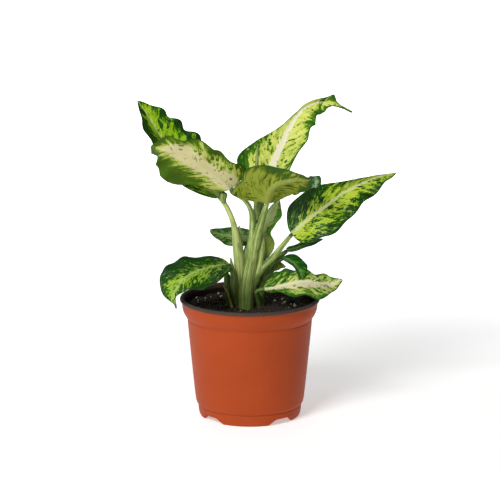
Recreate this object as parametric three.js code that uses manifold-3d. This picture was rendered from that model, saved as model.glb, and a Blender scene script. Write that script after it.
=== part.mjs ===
// Potted dieffenbachia, in millimetres, +Z up, seen from -Y.
// The origin is the middle of the pot's flat base.
import * as THREE from 'three';
import Module from 'manifold-3d';
import { mergeVertices } from 'three/addons/utils/BufferGeometryUtils.js';

const wasm = await Module();
wasm.setup();

// Driving dimensions
const RIM_RADIUS = 52.5;
const POT_HEIGHT = 91;
const WALL = 1;
const FOOT_RADIUS = 37.1;
const FLOOR_LEVEL = 4.8;
const BASE_DISC_RADIUS = 22;
const CHANNEL_INNER_RADIUS = 24.5;
const CHANNEL_OUTER_RADIUS = 33.8;
const GROOVE_LEVEL = 9;
const BODY_FOOT_RADIUS = 41;
const BODY_FOOT_LEVEL = 12.5;
const BODY_TOP_RADIUS = 47;
const BODY_TOP_LEVEL = 74.4;
const COLLAR_RADIUS = 50.7;
const COLLAR_LEVEL = 83;
const BEAD_RADIUS = 1.5;
const NOTCH_COUNT = 4;
const NOTCH_ANGLE = -140;
const NOTCH_HALF_WIDTH = 11.4;
const NOTCH_HEIGHT = 4.5;
const DRAIN_RADIUS = 2.5;
const NOTCH_ROUNDING = 7;
const NOTCH_START_RADIUS = 27.8;
const DRAIN_PLACE = 30;
const SOIL_LEVEL = 83;
const SOIL_BUMP = 0.7;
const CLEARANCE = 0.3;
const BLADE_THICKNESS = 0.8;

const POT_SEGMENTS = 48;
const STALK_SIDES = 10;
const STALK_STEP = 6;
const SOIL_RINGS = [44, 34, 24, 14, 0];
const LONG_BLADE = 40;
const LONG_DIVISIONS = { rowLength: 3.6, columns: 6 };
const SHORT_DIVISIONS = { rowLength: 3, columns: 4 };

// Colours
const TERRACOTTA = new THREE.MeshStandardMaterial({ color: 0xb15233, roughness: 0.5, metalness: 0 });
const EARTH = new THREE.MeshStandardMaterial({ color: 0x1c1209, roughness: 1, metalness: 0 });
const STALK_GREEN = new THREE.MeshStandardMaterial({ color: 0x8fa462, roughness: 0.5, metalness: 0 });
const YOUNG_GREEN = new THREE.MeshStandardMaterial({ color: 0x6f9a4a, roughness: 0.5, metalness: 0 });
const LIME_LEAF = new THREE.MeshStandardMaterial({ color: 0x86a838, roughness: 0.4, metalness: 0 });
const CREAM_LEAF = new THREE.MeshStandardMaterial({ color: 0xc4cc84, roughness: 0.5, metalness: 0 });
const OLIVE_LEAF = new THREE.MeshStandardMaterial({ color: 0x7b8a2c, roughness: 0.6, metalness: 0 });
const DARK_LEAF = new THREE.MeshStandardMaterial({ color: 0x3f6a2a, roughness: 0.4, metalness: 0 });
const STRAW = new THREE.MeshStandardMaterial({ color: 0xa89a4c, roughness: 0.9, metalness: 0 });

// Stalks: rows of x, y, z and radius along the middle line, from the foot up. A stalk with a leaf runs on
// to that leaf's base, where its radius is STALK_TIP_RADIUS.
const STALK_TIP_RADIUS = 1.5;
const CENTRE_STALKS = [
  { rows: [[-3, -4, 70, 5.6], [-3, -4, 85, 6], [-3, -4, 97, 6.2], [-1, -3, 112, 6], [2, -2, 127, 5.2],
    [4, -1, 141, 4.2], [5, 0, 148, 3]] },
  { leaf: 'leaf_front_left', rows: [[2, -2, 127, 3.4], [2, -3, 144, 2.6], [1, -4, 157, 2],
    [-4, -5, 166, 1.8], [-12, -6, 172.3, 2.5]] },
  { leaf: 'leaf_front_centre', rows: [[4, -3, 127, 3.4], [7, -6, 143, 2.8], [10, -9, 155, 2.4]] },
  { leaf: 'leaf_top', rows: [[4, 0, 130, 3.4], [5, 5, 146, 2.6], [8, 7, 158, 2.2]] },
  { leaf: 'leaf_right', rows: [[-1, -3, 92, 4.2], [3, -2, 105, 4], [10, -2, 114, 3], [17, -2, 121, 2.6],
    [24, -2, 130, 2]] },
  { leaf: 'leaf_young', rows: [[1, -1, 97, 3.8], [6, 1, 109, 3.2]] },
  { rows: [[1, -2, 97, 3], [6, -2.5, 110, 3], [8, -2.5, 120, 2.6], [9.3, -2, 130, 2], [10, -1.5, 138, 0.6]] },
];
const LEFT_STALKS = [
  { leaf: 'leaf_upper_left', rows: [[-9, 2, 70, 3.2], [-9, 1, 86, 3.6], [-8, -2, 97, 3.8],
    [-8, -5, 113, 3.9], [-9, -5, 128, 3.7], [-12, -4, 147, 2.2], [-17.5, 0, 160, 1.8]] },
  { rows: [[-18.5, 0, 162, 1.4], [-19.8, 0, 166, 2.6], [-19.5, 1, 171, 3.8]] },
  { rows: [[-7, -4, 108, 3], [-7, -3, 127, 2.2], [-7, -2, 138, 1.2], [-8, -2, 146, 0.5]] },
  { leaf: 'leaf_low_left', rows: [[-9, 0, 84, 2.8], [-11, -5, 98, 3.4], [-12, -8, 110, 2.6]] },
  { leaf: 'leaf_small_left', rows: [[-8, -1, 100, 2.4], [-6, 7, 114, 1.8]] },
  { rows: [[-11, -5, 104, 2], [-13, -4, 113, 1.6], [-14.4, -2, 121.5, 0.5]] },
  { rows: [[-13, 1, 70, 3.2], [-14, 1, 86, 3.6], [-15.5, 1, 98, 3.8], [-17, 1, 106, 2.6],
    [-18, 1, 110, 0.6]] },
];
const RIGHT_STALKS = [
  { leaf: 'leaf_narrow_right', rows: [[8, 2, 70, 3], [8, 2, 85, 3.2], [8, 4, 96, 3.6], [12, 7, 107, 3.8],
    [18, 8, 116, 2.8]] },
  { leaf: 'leaf_arched_right', rows: [[11, 6, 103, 2.6], [17, 6, 114, 2]] },
  { leaf: 'leaf_tiny_right', rows: [[8, 4, 95, 2], [12, 4, 104, 1.6]] },
  { leaf: 'leaf_low_right', rows: [[8, 1, 84, 2.4], [6, -5, 92, 2], [5.5, -9, 97, 1.6]] },
];
const SHOOTS = [CENTRE_STALKS, LEFT_STALKS, RIGHT_STALKS];
const ROLLED_LEAF = [[5, 0, 148.4, 2.2], [5, 2, 165, 2.3], [5, 3, 185, 1.7], [6, 5, 207, 0.4]];

// Leaves. The midrib's points and the facing (the way the upper side looks) run from the base to the tip, as
// do the half widths and the folds, in degrees, of each half. A wave is its height, count and phase.
const LEAVES = {
  leaf_top: {
    midrib: [[12, 4, 169], [17, 10, 188], [24, 18, 204], [30, 24, 216], [38, 28, 227], [49, 29, 233],
      [58, 26, 234], [65, 23, 233], [76.5, 20, 227.5]],
    facing: [[-0.3, -0.8, 0.5], [-0.3, -0.7, 0.6], [-0.2, -0.6, 0.8]],
    left: {
      widths: [14, 33, 26, 15, 14, 14, 12, 2.2, 0.8],
      folds: [0, -10, -30, -50, -40, -10, 0],
      wave: [1, 4, 0],
    },
    right: { widths: [14, 14, 18, 18.3, 18.5, 13, 9, 2, 0.8], folds: [5, 5, 0], wave: [1.8, 5, 90] },
    material: CREAM_LEAF,
  },
  leaf_upper_left: {
    midrib: [[-22, 2, 166], [-37, 8, 175], [-50, 14, 186], [-61, 20, 200], [-70, 24, 213], [-77, 27, 224],
      [-84, 28, 235]],
    facing: [[0.2, -0.75, 0.6], [0.2, -0.75, 0.6]],
    left: { widths: [14, 21, 21, 21, 17, 10, 0.5], folds: [40, 40, 40, 30], wave: [1.5, 4, 0] },
    right: { widths: [22.5, 25, 25.5, 23.5, 17.5, 11.5, 0.5], folds: [5, 5], wave: [3, 6, 90] },
    frill: 0.1,
    material: LIME_LEAF,
  },
  leaf_front_left: {
    midrib: [[-14, -6, 174], [-28, -16, 189], [-40, -26, 199], [-52, -34, 207], [-64, -40, 210],
      [-72, -39, 211]],
    facing: [[-0.2, 0.8, 0.6], [-0.2, 0.8, 0.6], [-0.4, 0.6, 0.6]],
    left: { widths: [28, 21.5, 16, 17, 18, 16, 14, 12.5, 12.5, 8.5, 2.5], folds: [5, 5], wave: [2.5, 4, 40] },
    right: {
      widths: [11, 14, 17, 26.5, 29.5, 26, 24, 21, 17, 15.5, 8],
      folds: [5, 3, 0, 0, 2, 5, 5],
      wave: [2, 3, 90],
    },
    material: CREAM_LEAF,
  },
  leaf_front_centre: {
    midrib: [[13, -11, 164.4], [14.2, -18, 173], [18, -25, 180.6], [25.5, -30, 184.8], [34.4, -33, 187],
      [41.8, -32, 186.8], [45.2, -32, 188.4], [47.8, -34, 189.8], [48.8, -37, 187.6], [48.6, -38.6, 184.4],
      [48, -38, 181.6]],
    facing: [[0, 0.8, 0.6], [0, 0.8, 0.6], [0, 0.8, 0.6], [-0.1, 0.85, 0.5], [-0.2, 0.85, 0.4],
      [-0.2, 0.85, 0.4], [-0.2, 0.4, 0.9], [0.2, -0.4, 1], [0.2, -0.9, 0.5], [0.2, -1, 0],
      [0.1, -0.9, -0.4]],
    left: {
      widths: [12, 17, 19, 17, 14, 12, 6.5, 4.4, 4.6, 4.4, 2.5],
      folds: [5, 5, 5, 5, 5, 5, 0, -20, -30, -30, -20],
      wave: [0.8, 3, 0],
    },
    right: {
      widths: [26, 34, 28, 24, 25, 19, 12, 8.5, 5.5, 4, 2.5, 2.6, 3, 3.6, 4.2, 4.6, 4.6, 4.5, 4.4, 3.8, 2.5],
      folds: [0, 5, 9, 13, 12, 9, 0, -20, -30, -30, -20],
      wave: [1.5, 3, 90],
    },
    material: OLIVE_LEAF,
  },
  leaf_right: {
    midrib: [[31, -2, 139], [43, -2, 150], [57, -2, 161], [70, -2, 171], [83, -2, 178], [97, 0, 183],
      [109, 3, 185]],
    facing: [[-0.3, -0.8, 0.5], [-0.2, -0.7, 0.6], [-0.2, -0.6, 0.8]],
    left: { widths: [12, 20, 20, 16, 12, 7, 0.5], folds: [10, 0, -25, -42, -40], wave: [1, 3, 0] },
    right: {
      widths: [20, 18.6, 19, 21, 22.4, 21.8, 18.8, 18, 16, 12.4, 8.4, 5, 0.5],
      folds: [0, 0],
      wave: [2, 4, -60],
    },
    material: LIME_LEAF,
  },
  leaf_low_left: {
    midrib: [[-15, -12, 119], [-25, -20, 119], [-37, -26, 117], [-46, -29, 113], [-52, -30, 107],
      [-56, -29, 98], [-54.5, -27, 88.3]],
    facing: [[-0.1, -0.5, 0.9], [-0.2, -0.5, 0.85], [-0.45, -0.65, 0.4], [-0.55, -0.75, 0.1]],
    left: { widths: [10, 14, 23, 17, 8, 2.2, 0.5], folds: [5, 5], wave: [1, 4, 0] },
    right: {
      widths: [15, 13, 12, 14.5, 17, 18, 19, 19, 18, 18.5, 12, 2, 0.5],
      folds: [5, 5],
      wave: [1.2, 4, 200],
    },
    material: LIME_LEAF,
  },
  leaf_low_right: {
    midrib: [[10, -10, 99], [19, -14, 101], [29, -17, 104], [39, -18, 106], [50, -16, 105], [60, -12, 103],
      [69, -10, 106]],
    facing: [[0, -0.5, 0.8], [0, -0.5, 0.8]],
    left: { widths: [18, 17, 15, 13, 10, 9.5, 1], folds: [5, 5], wave: [1.5, 4, 0] },
    right: { widths: [5, 5, 12, 16, 17, 8, 1], folds: [5, 5], wave: [1.5, 4, 90] },
    material: CREAM_LEAF,
  },
  leaf_young: {
    midrib: [[11.5, 3, 119], [10.5, 3, 130], [10.5, 2, 140], [13, 1, 149], [17, 2, 157], [22, 4, 164]],
    facing: [[0.3, -0.9, 0.2], [0.2, -0.9, 0.2], [-0.1, -0.9, 0.2], [-0.2, -0.9, 0.3]],
    left: { widths: [1.2, 2, 2, 2.5, 3, 1], folds: [0, 20], wave: [0.3, 2, 0] },
    right: { widths: [4, 8.5, 5, 7.5, 8, 1], folds: [15, 10, -10], wave: [0.8, 2, 90] },
    material: OLIVE_LEAF,
  },
  leaf_small_left: {
    midrib: [[0, 12, 130], [-9, 14, 132], [-18, 15, 134], [-25, 14, 136], [-30, 12, 139]],
    facing: [[0, -0.7, 0.7], [0, -0.7, 0.7]],
    left: { widths: [5, 8, 8, 5, 1], folds: [10, 10], wave: [0.5, 2, 0] },
    right: { widths: [10, 10, 7, 5, 1], folds: [10, 10], wave: [0.8, 2, 90] },
    material: DARK_LEAF,
  },
  leaf_narrow_right: {
    midrib: [[27, 9, 124], [35, 10, 126], [45, 12, 129], [55, 14, 132]],
    facing: [[-0.2, -0.4, 0.9], [0, -0.4, 0.9]],
    left: { widths: [3, 4, 4, 0.6], folds: [10, 10], wave: [0.5, 2, 0] },
    right: { widths: [3, 4, 4, 0.6], folds: [10, 10], wave: [0.5, 2, 90] },
    material: DARK_LEAF,
  },
  leaf_arched_right: {
    midrib: [[25, 4, 120.5], [31.5, -3, 118.2], [35.2, -9, 115.5], [37.7, -14, 112.2], [39, -18, 108.2]],
    facing: [[0.3, -0.7, 0.6], [0.4, -0.7, 0.6], [0.5, -0.7, 0.5]],
    left: { widths: [5, 8, 8, 5, 0.6], folds: [10, 10], wave: [0.5, 2, 0] },
    right: { widths: [3.5, 3.5, 3.5, 3, 0.6], folds: [10, 10], wave: [0.5, 2, 90] },
    material: DARK_LEAF,
  },
  leaf_tiny_right: {
    midrib: [[17, 6, 110], [22, 7, 113], [27, 8, 112]],
    facing: [[0.2, -0.8, 0.6], [0.2, -0.8, 0.6]],
    left: { widths: [2, 3, 0.6], folds: [10, 10], wave: [0.3, 2, 0] },
    right: { widths: [2, 3, 0.6], folds: [10, 10], wave: [0.3, 2, 90] },
    material: OLIVE_LEAF,
  },
  dry_sheath: {
    midrib: [[-13, -8, 83.8], [-15, -8, 91], [-17, -7, 97], [-20, -6, 101]],
    facing: [[-0.3, -0.9, 0.3], [-0.3, -0.9, 0.3]],
    left: { widths: [1.4, 1.6, 1.4, 0.6], folds: [15, 15], wave: [0.2, 2, 0] },
    right: { widths: [1.4, 1.6, 1.4, 0.6], folds: [15, 15], wave: [0.2, 2, 90] },
    material: STRAW,
  },
};
const BASE_ROUNDING = 0.14;
const FRILL = 0.05;
const LEAST_HALF_WIDTH = 0.5;

const radians = THREE.MathUtils.degToRad;

// A smooth curve through evenly spaced points, and the same for single values.
function smoothCurve(points) {
  const places = points.map((point) => new THREE.Vector3(...point));
  return new THREE.CatmullRomCurve3(places, false, 'catmullrom', 0.5);
}

function smoothValue(values, u) {
  return smoothCurve(values.map((value) => [value, 0, 0])).getPoint(u).x;
}

function straightValue(values, u) {
  const place = u * (values.length - 1);
  const step = Math.min(Math.floor(place), values.length - 2);
  return THREE.MathUtils.lerp(values[step], values[step + 1], place - step);
}

// Closed geometry from a list of vertices and a list of triangles.
function closedGeometry(vertices, triangles) {
  const geometry = new THREE.BufferGeometry();
  const numbers = vertices.flatMap((vertex) => vertex.toArray());
  geometry.setAttribute('position', new THREE.Float32BufferAttribute(numbers, 3));
  geometry.setIndex(triangles.flat());
  return geometry;
}

function toSolid(geometry) {
  const bare = geometry.clone();
  bare.deleteAttribute('normal');
  bare.deleteAttribute('uv');
  const merged = mergeVertices(bare, 1e-4);
  return new wasm.Manifold(new wasm.Mesh({
    numProp: 3,
    vertProperties: new Float32Array(merged.attributes.position.array),
    triVerts: new Uint32Array(merged.index.array),
  }));
}

// What is left of a solid when a cutter is taken from it, without loose scraps.
function cutClear(solid, cutter) {
  const pieces = solid.subtract(cutter).decompose();
  return pieces.sort((a, b) => b.volume() - a.volume())[0];
}

function toGeometry(solid) {
  const mesh = solid.getMesh();
  const geometry = new THREE.BufferGeometry();
  geometry.setAttribute('position', new THREE.Float32BufferAttribute(mesh.vertProperties, 3));
  geometry.setIndex(new THREE.Uint32BufferAttribute(mesh.triVerts, 1));
  return geometry;
}

function namedMesh(name, geometry, material) {
  geometry.computeVertexNormals();
  const mesh = new THREE.Mesh(geometry, material);
  mesh.name = name;
  return mesh;
}

// Closed body turned about the Z axis from a profile of radius and height pairs.
function turned(profile) {
  const points = profile.map(([radius, height]) => new THREE.Vector2(radius, height));
  return new THREE.LatheGeometry(points, POT_SEGMENTS).rotateX(Math.PI / 2);
}

// The pot: a flat disc in the middle of its base, a raised drain channel round it and a ring of feet,
// then a stepped body and collar and a solid rolled bead round the rim.
function potProfile() {
  const beadLevel = POT_HEIGHT - BEAD_RADIUS;
  const beadCentre = RIM_RADIUS - BEAD_RADIUS;
  const bead = [-40, 0, 45, 90, 135, 180].map((angle) => [
    beadCentre + BEAD_RADIUS * Math.cos(radians(angle)),
    beadLevel + BEAD_RADIUS * Math.sin(radians(angle)),
  ]);
  return [
    [0, 0],
    [BASE_DISC_RADIUS, 0],
    [CHANNEL_INNER_RADIUS, FLOOR_LEVEL],
    [CHANNEL_OUTER_RADIUS, FLOOR_LEVEL],
    [CHANNEL_OUTER_RADIUS + 0.4, 0],
    [FOOT_RADIUS, 0],
    [FOOT_RADIUS + 1, 1.6],
    [FOOT_RADIUS + 1.5, 4],
    [FOOT_RADIUS + 1.9, GROOVE_LEVEL - 0.6],
    [FOOT_RADIUS + 1.6, GROOVE_LEVEL],
    [FOOT_RADIUS + 2.4, GROOVE_LEVEL + 0.4],
    [BODY_FOOT_RADIUS, BODY_FOOT_LEVEL],
    [BODY_TOP_RADIUS, BODY_TOP_LEVEL],
    [BODY_TOP_RADIUS - 0.5, BODY_TOP_LEVEL + 0.6],
    [BODY_TOP_RADIUS + 0.2, BODY_TOP_LEVEL + 1.2],
    [COLLAR_RADIUS - 1.1, COLLAR_LEVEL - 3.5],
    [COLLAR_RADIUS, COLLAR_LEVEL],
    [COLLAR_RADIUS + 0.2, beadLevel - BEAD_RADIUS],
    ...bead,
    [COLLAR_RADIUS - WALL, COLLAR_LEVEL],
    [COLLAR_RADIUS - 1.1 - WALL, COLLAR_LEVEL - 3.2],
    [BODY_TOP_RADIUS - WALL, BODY_TOP_LEVEL + 1.4],
    [BODY_TOP_RADIUS - 0.2 - WALL, BODY_TOP_LEVEL],
    [BODY_FOOT_RADIUS - WALL, BODY_FOOT_LEVEL + 0.3],
    [FOOT_RADIUS + 0.7, FLOOR_LEVEL + WALL],
    [CHANNEL_INNER_RADIUS - 0.6, FLOOR_LEVEL + WALL],
    [BASE_DISC_RADIUS - 0.6, WALL],
    [0, WALL],
  ];
}

// One arched drain notch, cut through the foot ring along the radius.
function notchCutter(angle) {
  const flat = NOTCH_HALF_WIDTH - NOTCH_ROUNDING;
  const bend = NOTCH_HALF_WIDTH - NOTCH_ROUNDING / 2;
  const arch = new THREE.Shape();
  arch.moveTo(-NOTCH_HALF_WIDTH, -1);
  arch.lineTo(-NOTCH_HALF_WIDTH, 0);
  arch.quadraticCurveTo(-bend, NOTCH_HEIGHT, -flat, NOTCH_HEIGHT);
  arch.lineTo(flat, NOTCH_HEIGHT);
  arch.quadraticCurveTo(bend, NOTCH_HEIGHT, NOTCH_HALF_WIDTH, 0);
  arch.lineTo(NOTCH_HALF_WIDTH, -1);
  const settings = { depth: FOOT_RADIUS, bevelEnabled: false, curveSegments: 5 };
  const geometry = new THREE.ExtrudeGeometry(arch, settings);
  geometry.rotateX(Math.PI / 2);
  geometry.rotateZ(Math.PI / 2);
  geometry.translate(NOTCH_START_RADIUS, 0, 0);
  geometry.rotateZ(radians(angle));
  return geometry;
}

// One round drain hole through the channel, just inside a notch.
function drainCutter(angle) {
  const geometry = new THREE.CylinderGeometry(DRAIN_RADIUS, DRAIN_RADIUS, 4, 12);
  geometry.rotateX(Math.PI / 2);
  geometry.translate(DRAIN_PLACE, 0, FLOOR_LEVEL + WALL / 2);
  geometry.rotateZ(radians(angle));
  return geometry;
}

function potSolid() {
  let pot = toSolid(turned(potProfile()));
  for (let index = 0; index < NOTCH_COUNT; index += 1) {
    const angle = NOTCH_ANGLE + index * 360 / NOTCH_COUNT;
    pot = pot.subtract(toSolid(notchCutter(angle))).subtract(toSolid(drainCutter(angle)));
  }
  return pot;
}

// Stalk of round section along a smooth line, with its ends closed.
function stalkGeometry(rows, growth = 0) {
  const path = smoothCurve(rows.map(([x, y, z]) => [x, y, z]));
  const rings = Math.max(4, Math.round(path.getLength() / STALK_STEP));
  const vertices = [];
  const triangles = [];
  for (let ring = 0; ring <= rings; ring += 1) {
    const u = ring / rings;
    const centre = path.getPoint(u);
    const along = directionAt(path, u, 0.01);
    const side = new THREE.Vector3(0, 1, 0).cross(along).normalize();
    const front = along.clone().cross(side);
    const radius = smoothValue(rows.map((row) => row[3]), u) + growth;
    for (let step = 0; step < STALK_SIDES; step += 1) {
      const angle = 2 * Math.PI * step / STALK_SIDES;
      vertices.push(centre.clone().addScaledVector(side, radius * Math.cos(angle))
        .addScaledVector(front, radius * Math.sin(angle)));
    }
  }
  for (let ring = 0; ring < rings; ring += 1) {
    for (let step = 0; step < STALK_SIDES; step += 1) {
      const a = ring * STALK_SIDES + step;
      const b = ring * STALK_SIDES + (step + 1) % STALK_SIDES;
      triangles.push([a, b, b + STALK_SIDES], [a, b + STALK_SIDES, a + STALK_SIDES]);
    }
  }
  const last = rings * STALK_SIDES;
  for (let step = 1; step < STALK_SIDES - 1; step += 1) {
    triangles.push([0, step + 1, step], [last, last + step, last + step + 1]);
  }
  return closedGeometry(vertices, triangles);
}

// The place where a leaf's stalk ends, just short of the blade's base.
function stalkTip(leaf) {
  const base = new THREE.Vector3(...leaf.midrib[0]);
  const along = new THREE.Vector3(...leaf.midrib[1]).sub(base).normalize();
  return base.addScaledVector(along, -CLEARANCE).toArray();
}

function stalkRows(stalk) {
  return stalk.leaf ? [...stalk.rows, [...stalkTip(LEAVES[stalk.leaf]), STALK_TIP_RADIUS]] : stalk.rows;
}

function shootSolid(stalks, growth = 0) {
  return stalks
    .map((stalk) => toSolid(stalkGeometry(stalkRows(stalk), growth)))
    .reduce((joined, stalk) => joined.add(stalk));
}

// Height of the soil's lumps at a place.
function soilBump(x, y) {
  return SOIL_BUMP * (Math.sin(0.31 * x + 1.3) * Math.cos(0.27 * y) + 0.5 * Math.sin(0.55 * y + 0.4 * x));
}

function soilSolid(shoots) {
  const inset = WALL + CLEARANCE;
  const profile = [
    [0, inset],
    [BASE_DISC_RADIUS - 0.9, inset],
    [CHANNEL_INNER_RADIUS - 0.9, FLOOR_LEVEL + inset],
    [FOOT_RADIUS + 0.3, FLOOR_LEVEL + inset],
    [BODY_FOOT_RADIUS - inset, BODY_FOOT_LEVEL + 0.5],
    [BODY_TOP_RADIUS - 0.2 - inset, BODY_TOP_LEVEL],
    [BODY_TOP_RADIUS - inset, BODY_TOP_LEVEL + 1.6],
    [COLLAR_RADIUS - 1.1 - inset, COLLAR_LEVEL - 3],
    [COLLAR_RADIUS - 0.3 - inset, SOIL_LEVEL - 1],
    ...SOIL_RINGS.map((radius) => [radius, SOIL_LEVEL]),
  ];
  const geometry = turned(profile);
  const position = geometry.attributes.position;
  for (let index = 0; index < position.count; index += 1) {
    if (position.getZ(index) > SOIL_LEVEL - 0.5) {
      position.setZ(index, SOIL_LEVEL + soilBump(position.getX(index), position.getY(index)));
    }
  }
  return shoots.reduce((soil, stalks) => soil.subtract(shootSolid(stalks, CLEARANCE)), toSolid(geometry));
}

// One half of a blade's cross line at u: how far across and how far up the point at share t of it lies.
function halfSection(half, frill, u, t) {
  const { widths, folds, wave } = half;
  const rounding = Math.sqrt(1 - (1 - Math.min(u / BASE_ROUNDING, 1)) ** 2);
  const [height, count, phase] = wave;
  const theta = 2 * Math.PI * count * u + radians(phase);
  const calm = Math.sin(Math.PI * u) ** 0.6;
  const plain = Math.max(smoothValue(widths, u) * rounding, LEAST_HALF_WIDTH);
  const width = plain * (1 + frill * calm * t * t * Math.cos(theta));
  const fold = radians(straightValue(folds, u));
  return {
    across: width * t * Math.cos(fold),
    lift: width * t * Math.sin(fold) + height * calm * t * t * Math.sin(theta),
  };
}

// The way a curve runs at u, from its places a little before and a little after.
function directionAt(curve, u, reach) {
  const after = curve.getPoint(Math.min(u + reach, 1));
  return after.sub(curve.getPoint(Math.max(u - reach, 0))).normalize();
}

// The blade's middle surface: cross lines of points, square to the midrib.
function bladeGrid(leaf, rows, columns) {
  const midrib = smoothCurve(leaf.midrib);
  const facing = smoothCurve(leaf.facing);
  const grid = [];
  for (let row = 0; row <= rows; row += 1) {
    const u = row / rows;
    const centre = midrib.getPoint(u);
    const along = directionAt(midrib, u, 0.001);
    const up = facing.getPoint(u);
    up.addScaledVector(along, -up.dot(along)).normalize();
    const side = along.clone().cross(up);
    const line = [];
    for (let column = 0; column <= columns; column += 1) {
      const v = 2 * column / columns - 1;
      const half = v < 0 ? leaf.left : leaf.right;
      const { across, lift } = halfSection(half, leaf.frill ?? FRILL, u, Math.abs(v));
      line.push(centre.clone().addScaledVector(side, Math.sign(v) * across).addScaledVector(up, lift));
    }
    grid.push(line);
  }
  return grid;
}

function surfaceNormal(grid, row, column) {
  const nextRow = grid[Math.min(row + 1, grid.length - 1)][column];
  const lastRow = grid[Math.max(row - 1, 0)][column];
  const nextColumn = grid[row][Math.min(column + 1, grid[row].length - 1)];
  const lastColumn = grid[row][Math.max(column - 1, 0)];
  return nextColumn.clone().sub(lastColumn).cross(nextRow.clone().sub(lastRow)).normalize();
}

// Blade of even thickness: the middle surface set off to both sides and closed along its edge,
// with both faces split into triangles alike.
function bladeGeometry(leaf, rows, columns) {
  const grid = bladeGrid(leaf, rows, columns);
  const vertices = [];
  for (const side of [1, -1]) {
    grid.forEach((line, row) => line.forEach((point, column) => {
      const normal = surfaceNormal(grid, row, column);
      vertices.push(point.clone().addScaledVector(normal, side * BLADE_THICKNESS / 2));
    }));
  }
  const across = columns + 1;
  const under = (rows + 1) * across;
  const triangles = [];
  for (let row = 0; row < rows; row += 1) {
    for (let column = 0; column < columns; column += 1) {
      const a = row * across + column;
      const b = a + 1;
      const c = b + across;
      const d = a + across;
      triangles.push([a, b, c], [a, c, d]);
      triangles.push([under + a, under + c, under + b], [under + a, under + d, under + c]);
    }
  }
  const edge = [];
  for (let column = 0; column < columns; column += 1) edge.push(column);
  for (let row = 0; row < rows; row += 1) edge.push(row * across + columns);
  for (let column = columns; column > 0; column -= 1) edge.push(rows * across + column);
  for (let row = rows; row > 0; row -= 1) edge.push(row * across);
  edge.forEach((start, index) => {
    const end = edge[(index + 1) % edge.length];
    triangles.push([start, under + start, under + end], [start, under + end, end]);
  });
  return closedGeometry(vertices, triangles);
}

// How many rows and columns of faces a blade has.
function bladeDivisions(leaf) {
  const length = smoothCurve(leaf.midrib).getLength();
  const { rowLength, columns } = length > LONG_BLADE ? LONG_DIVISIONS : SHORT_DIVISIONS;
  return [Math.round(length / rowLength), columns];
}

const plant = new THREE.Group();
plant.add(namedMesh('pot', toGeometry(potSolid()), TERRACOTTA));
plant.add(namedMesh('soil', toGeometry(soilSolid(SHOOTS)), EARTH));

const centreGrown = shootSolid(CENTRE_STALKS, CLEARANCE);
plant.add(namedMesh('shoot_centre', toGeometry(shootSolid(CENTRE_STALKS)), STALK_GREEN));
plant.add(namedMesh('shoot_left', toGeometry(shootSolid(LEFT_STALKS).subtract(centreGrown)), STALK_GREEN));
plant.add(namedMesh('shoot_right', toGeometry(shootSolid(RIGHT_STALKS).subtract(centreGrown)), STALK_GREEN));
plant.add(namedMesh('rolled_leaf', stalkGeometry(ROLLED_LEAF), YOUNG_GREEN));

for (const [name, leaf] of Object.entries(LEAVES)) {
  const blade = bladeGeometry(leaf, ...bladeDivisions(leaf));
  const shoot = SHOOTS.find((stalks) => stalks.some((stalk) => stalk.leaf === name));
  const geometry = shoot ? toGeometry(cutClear(toSolid(blade), shootSolid(shoot, CLEARANCE))) : blade;
  plant.add(namedMesh(name, geometry, leaf.material));
}

export default plant;
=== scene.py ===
import math

import bpy
import numpy as np
from bpy.props import FloatProperty, FloatVectorProperty, IntProperty, PointerProperty
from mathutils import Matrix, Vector


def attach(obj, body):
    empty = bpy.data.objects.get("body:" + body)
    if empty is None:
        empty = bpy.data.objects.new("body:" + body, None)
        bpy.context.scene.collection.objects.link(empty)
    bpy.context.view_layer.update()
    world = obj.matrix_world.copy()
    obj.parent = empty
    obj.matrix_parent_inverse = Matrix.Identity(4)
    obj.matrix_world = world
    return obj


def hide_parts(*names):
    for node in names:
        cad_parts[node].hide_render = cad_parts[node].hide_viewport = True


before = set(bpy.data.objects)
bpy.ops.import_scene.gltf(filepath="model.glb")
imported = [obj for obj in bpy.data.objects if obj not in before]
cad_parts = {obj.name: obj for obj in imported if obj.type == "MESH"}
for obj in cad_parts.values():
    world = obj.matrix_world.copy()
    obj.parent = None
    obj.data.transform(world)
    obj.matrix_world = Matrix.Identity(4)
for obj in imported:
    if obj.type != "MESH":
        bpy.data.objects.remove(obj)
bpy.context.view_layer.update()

bl_info = {
    "name": "Potted dieffenbachia",
    "version": (1, 0, 0),
    "blender": (4, 5, 0),
    "location": "3D View > Sidebar > Dieffenbachia",
    "description": "Makes the leaves, stalks, soil and pot of a potted dieffenbachia",
    "category": "Add Mesh",
}

MM = 0.001


def paint(code):
    """The linear colour of a six-digit screen colour: a straight foot, then a power curve."""
    values = np.array(list(bytes.fromhex(code))) / 255
    return tuple(np.where(values <= 0.04045, values / 12.92, ((values + 0.055) / 1.055) ** 2.4).tolist())


# ---------------------------------------------------------------- the plant's own sizes, in millimetres

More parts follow.
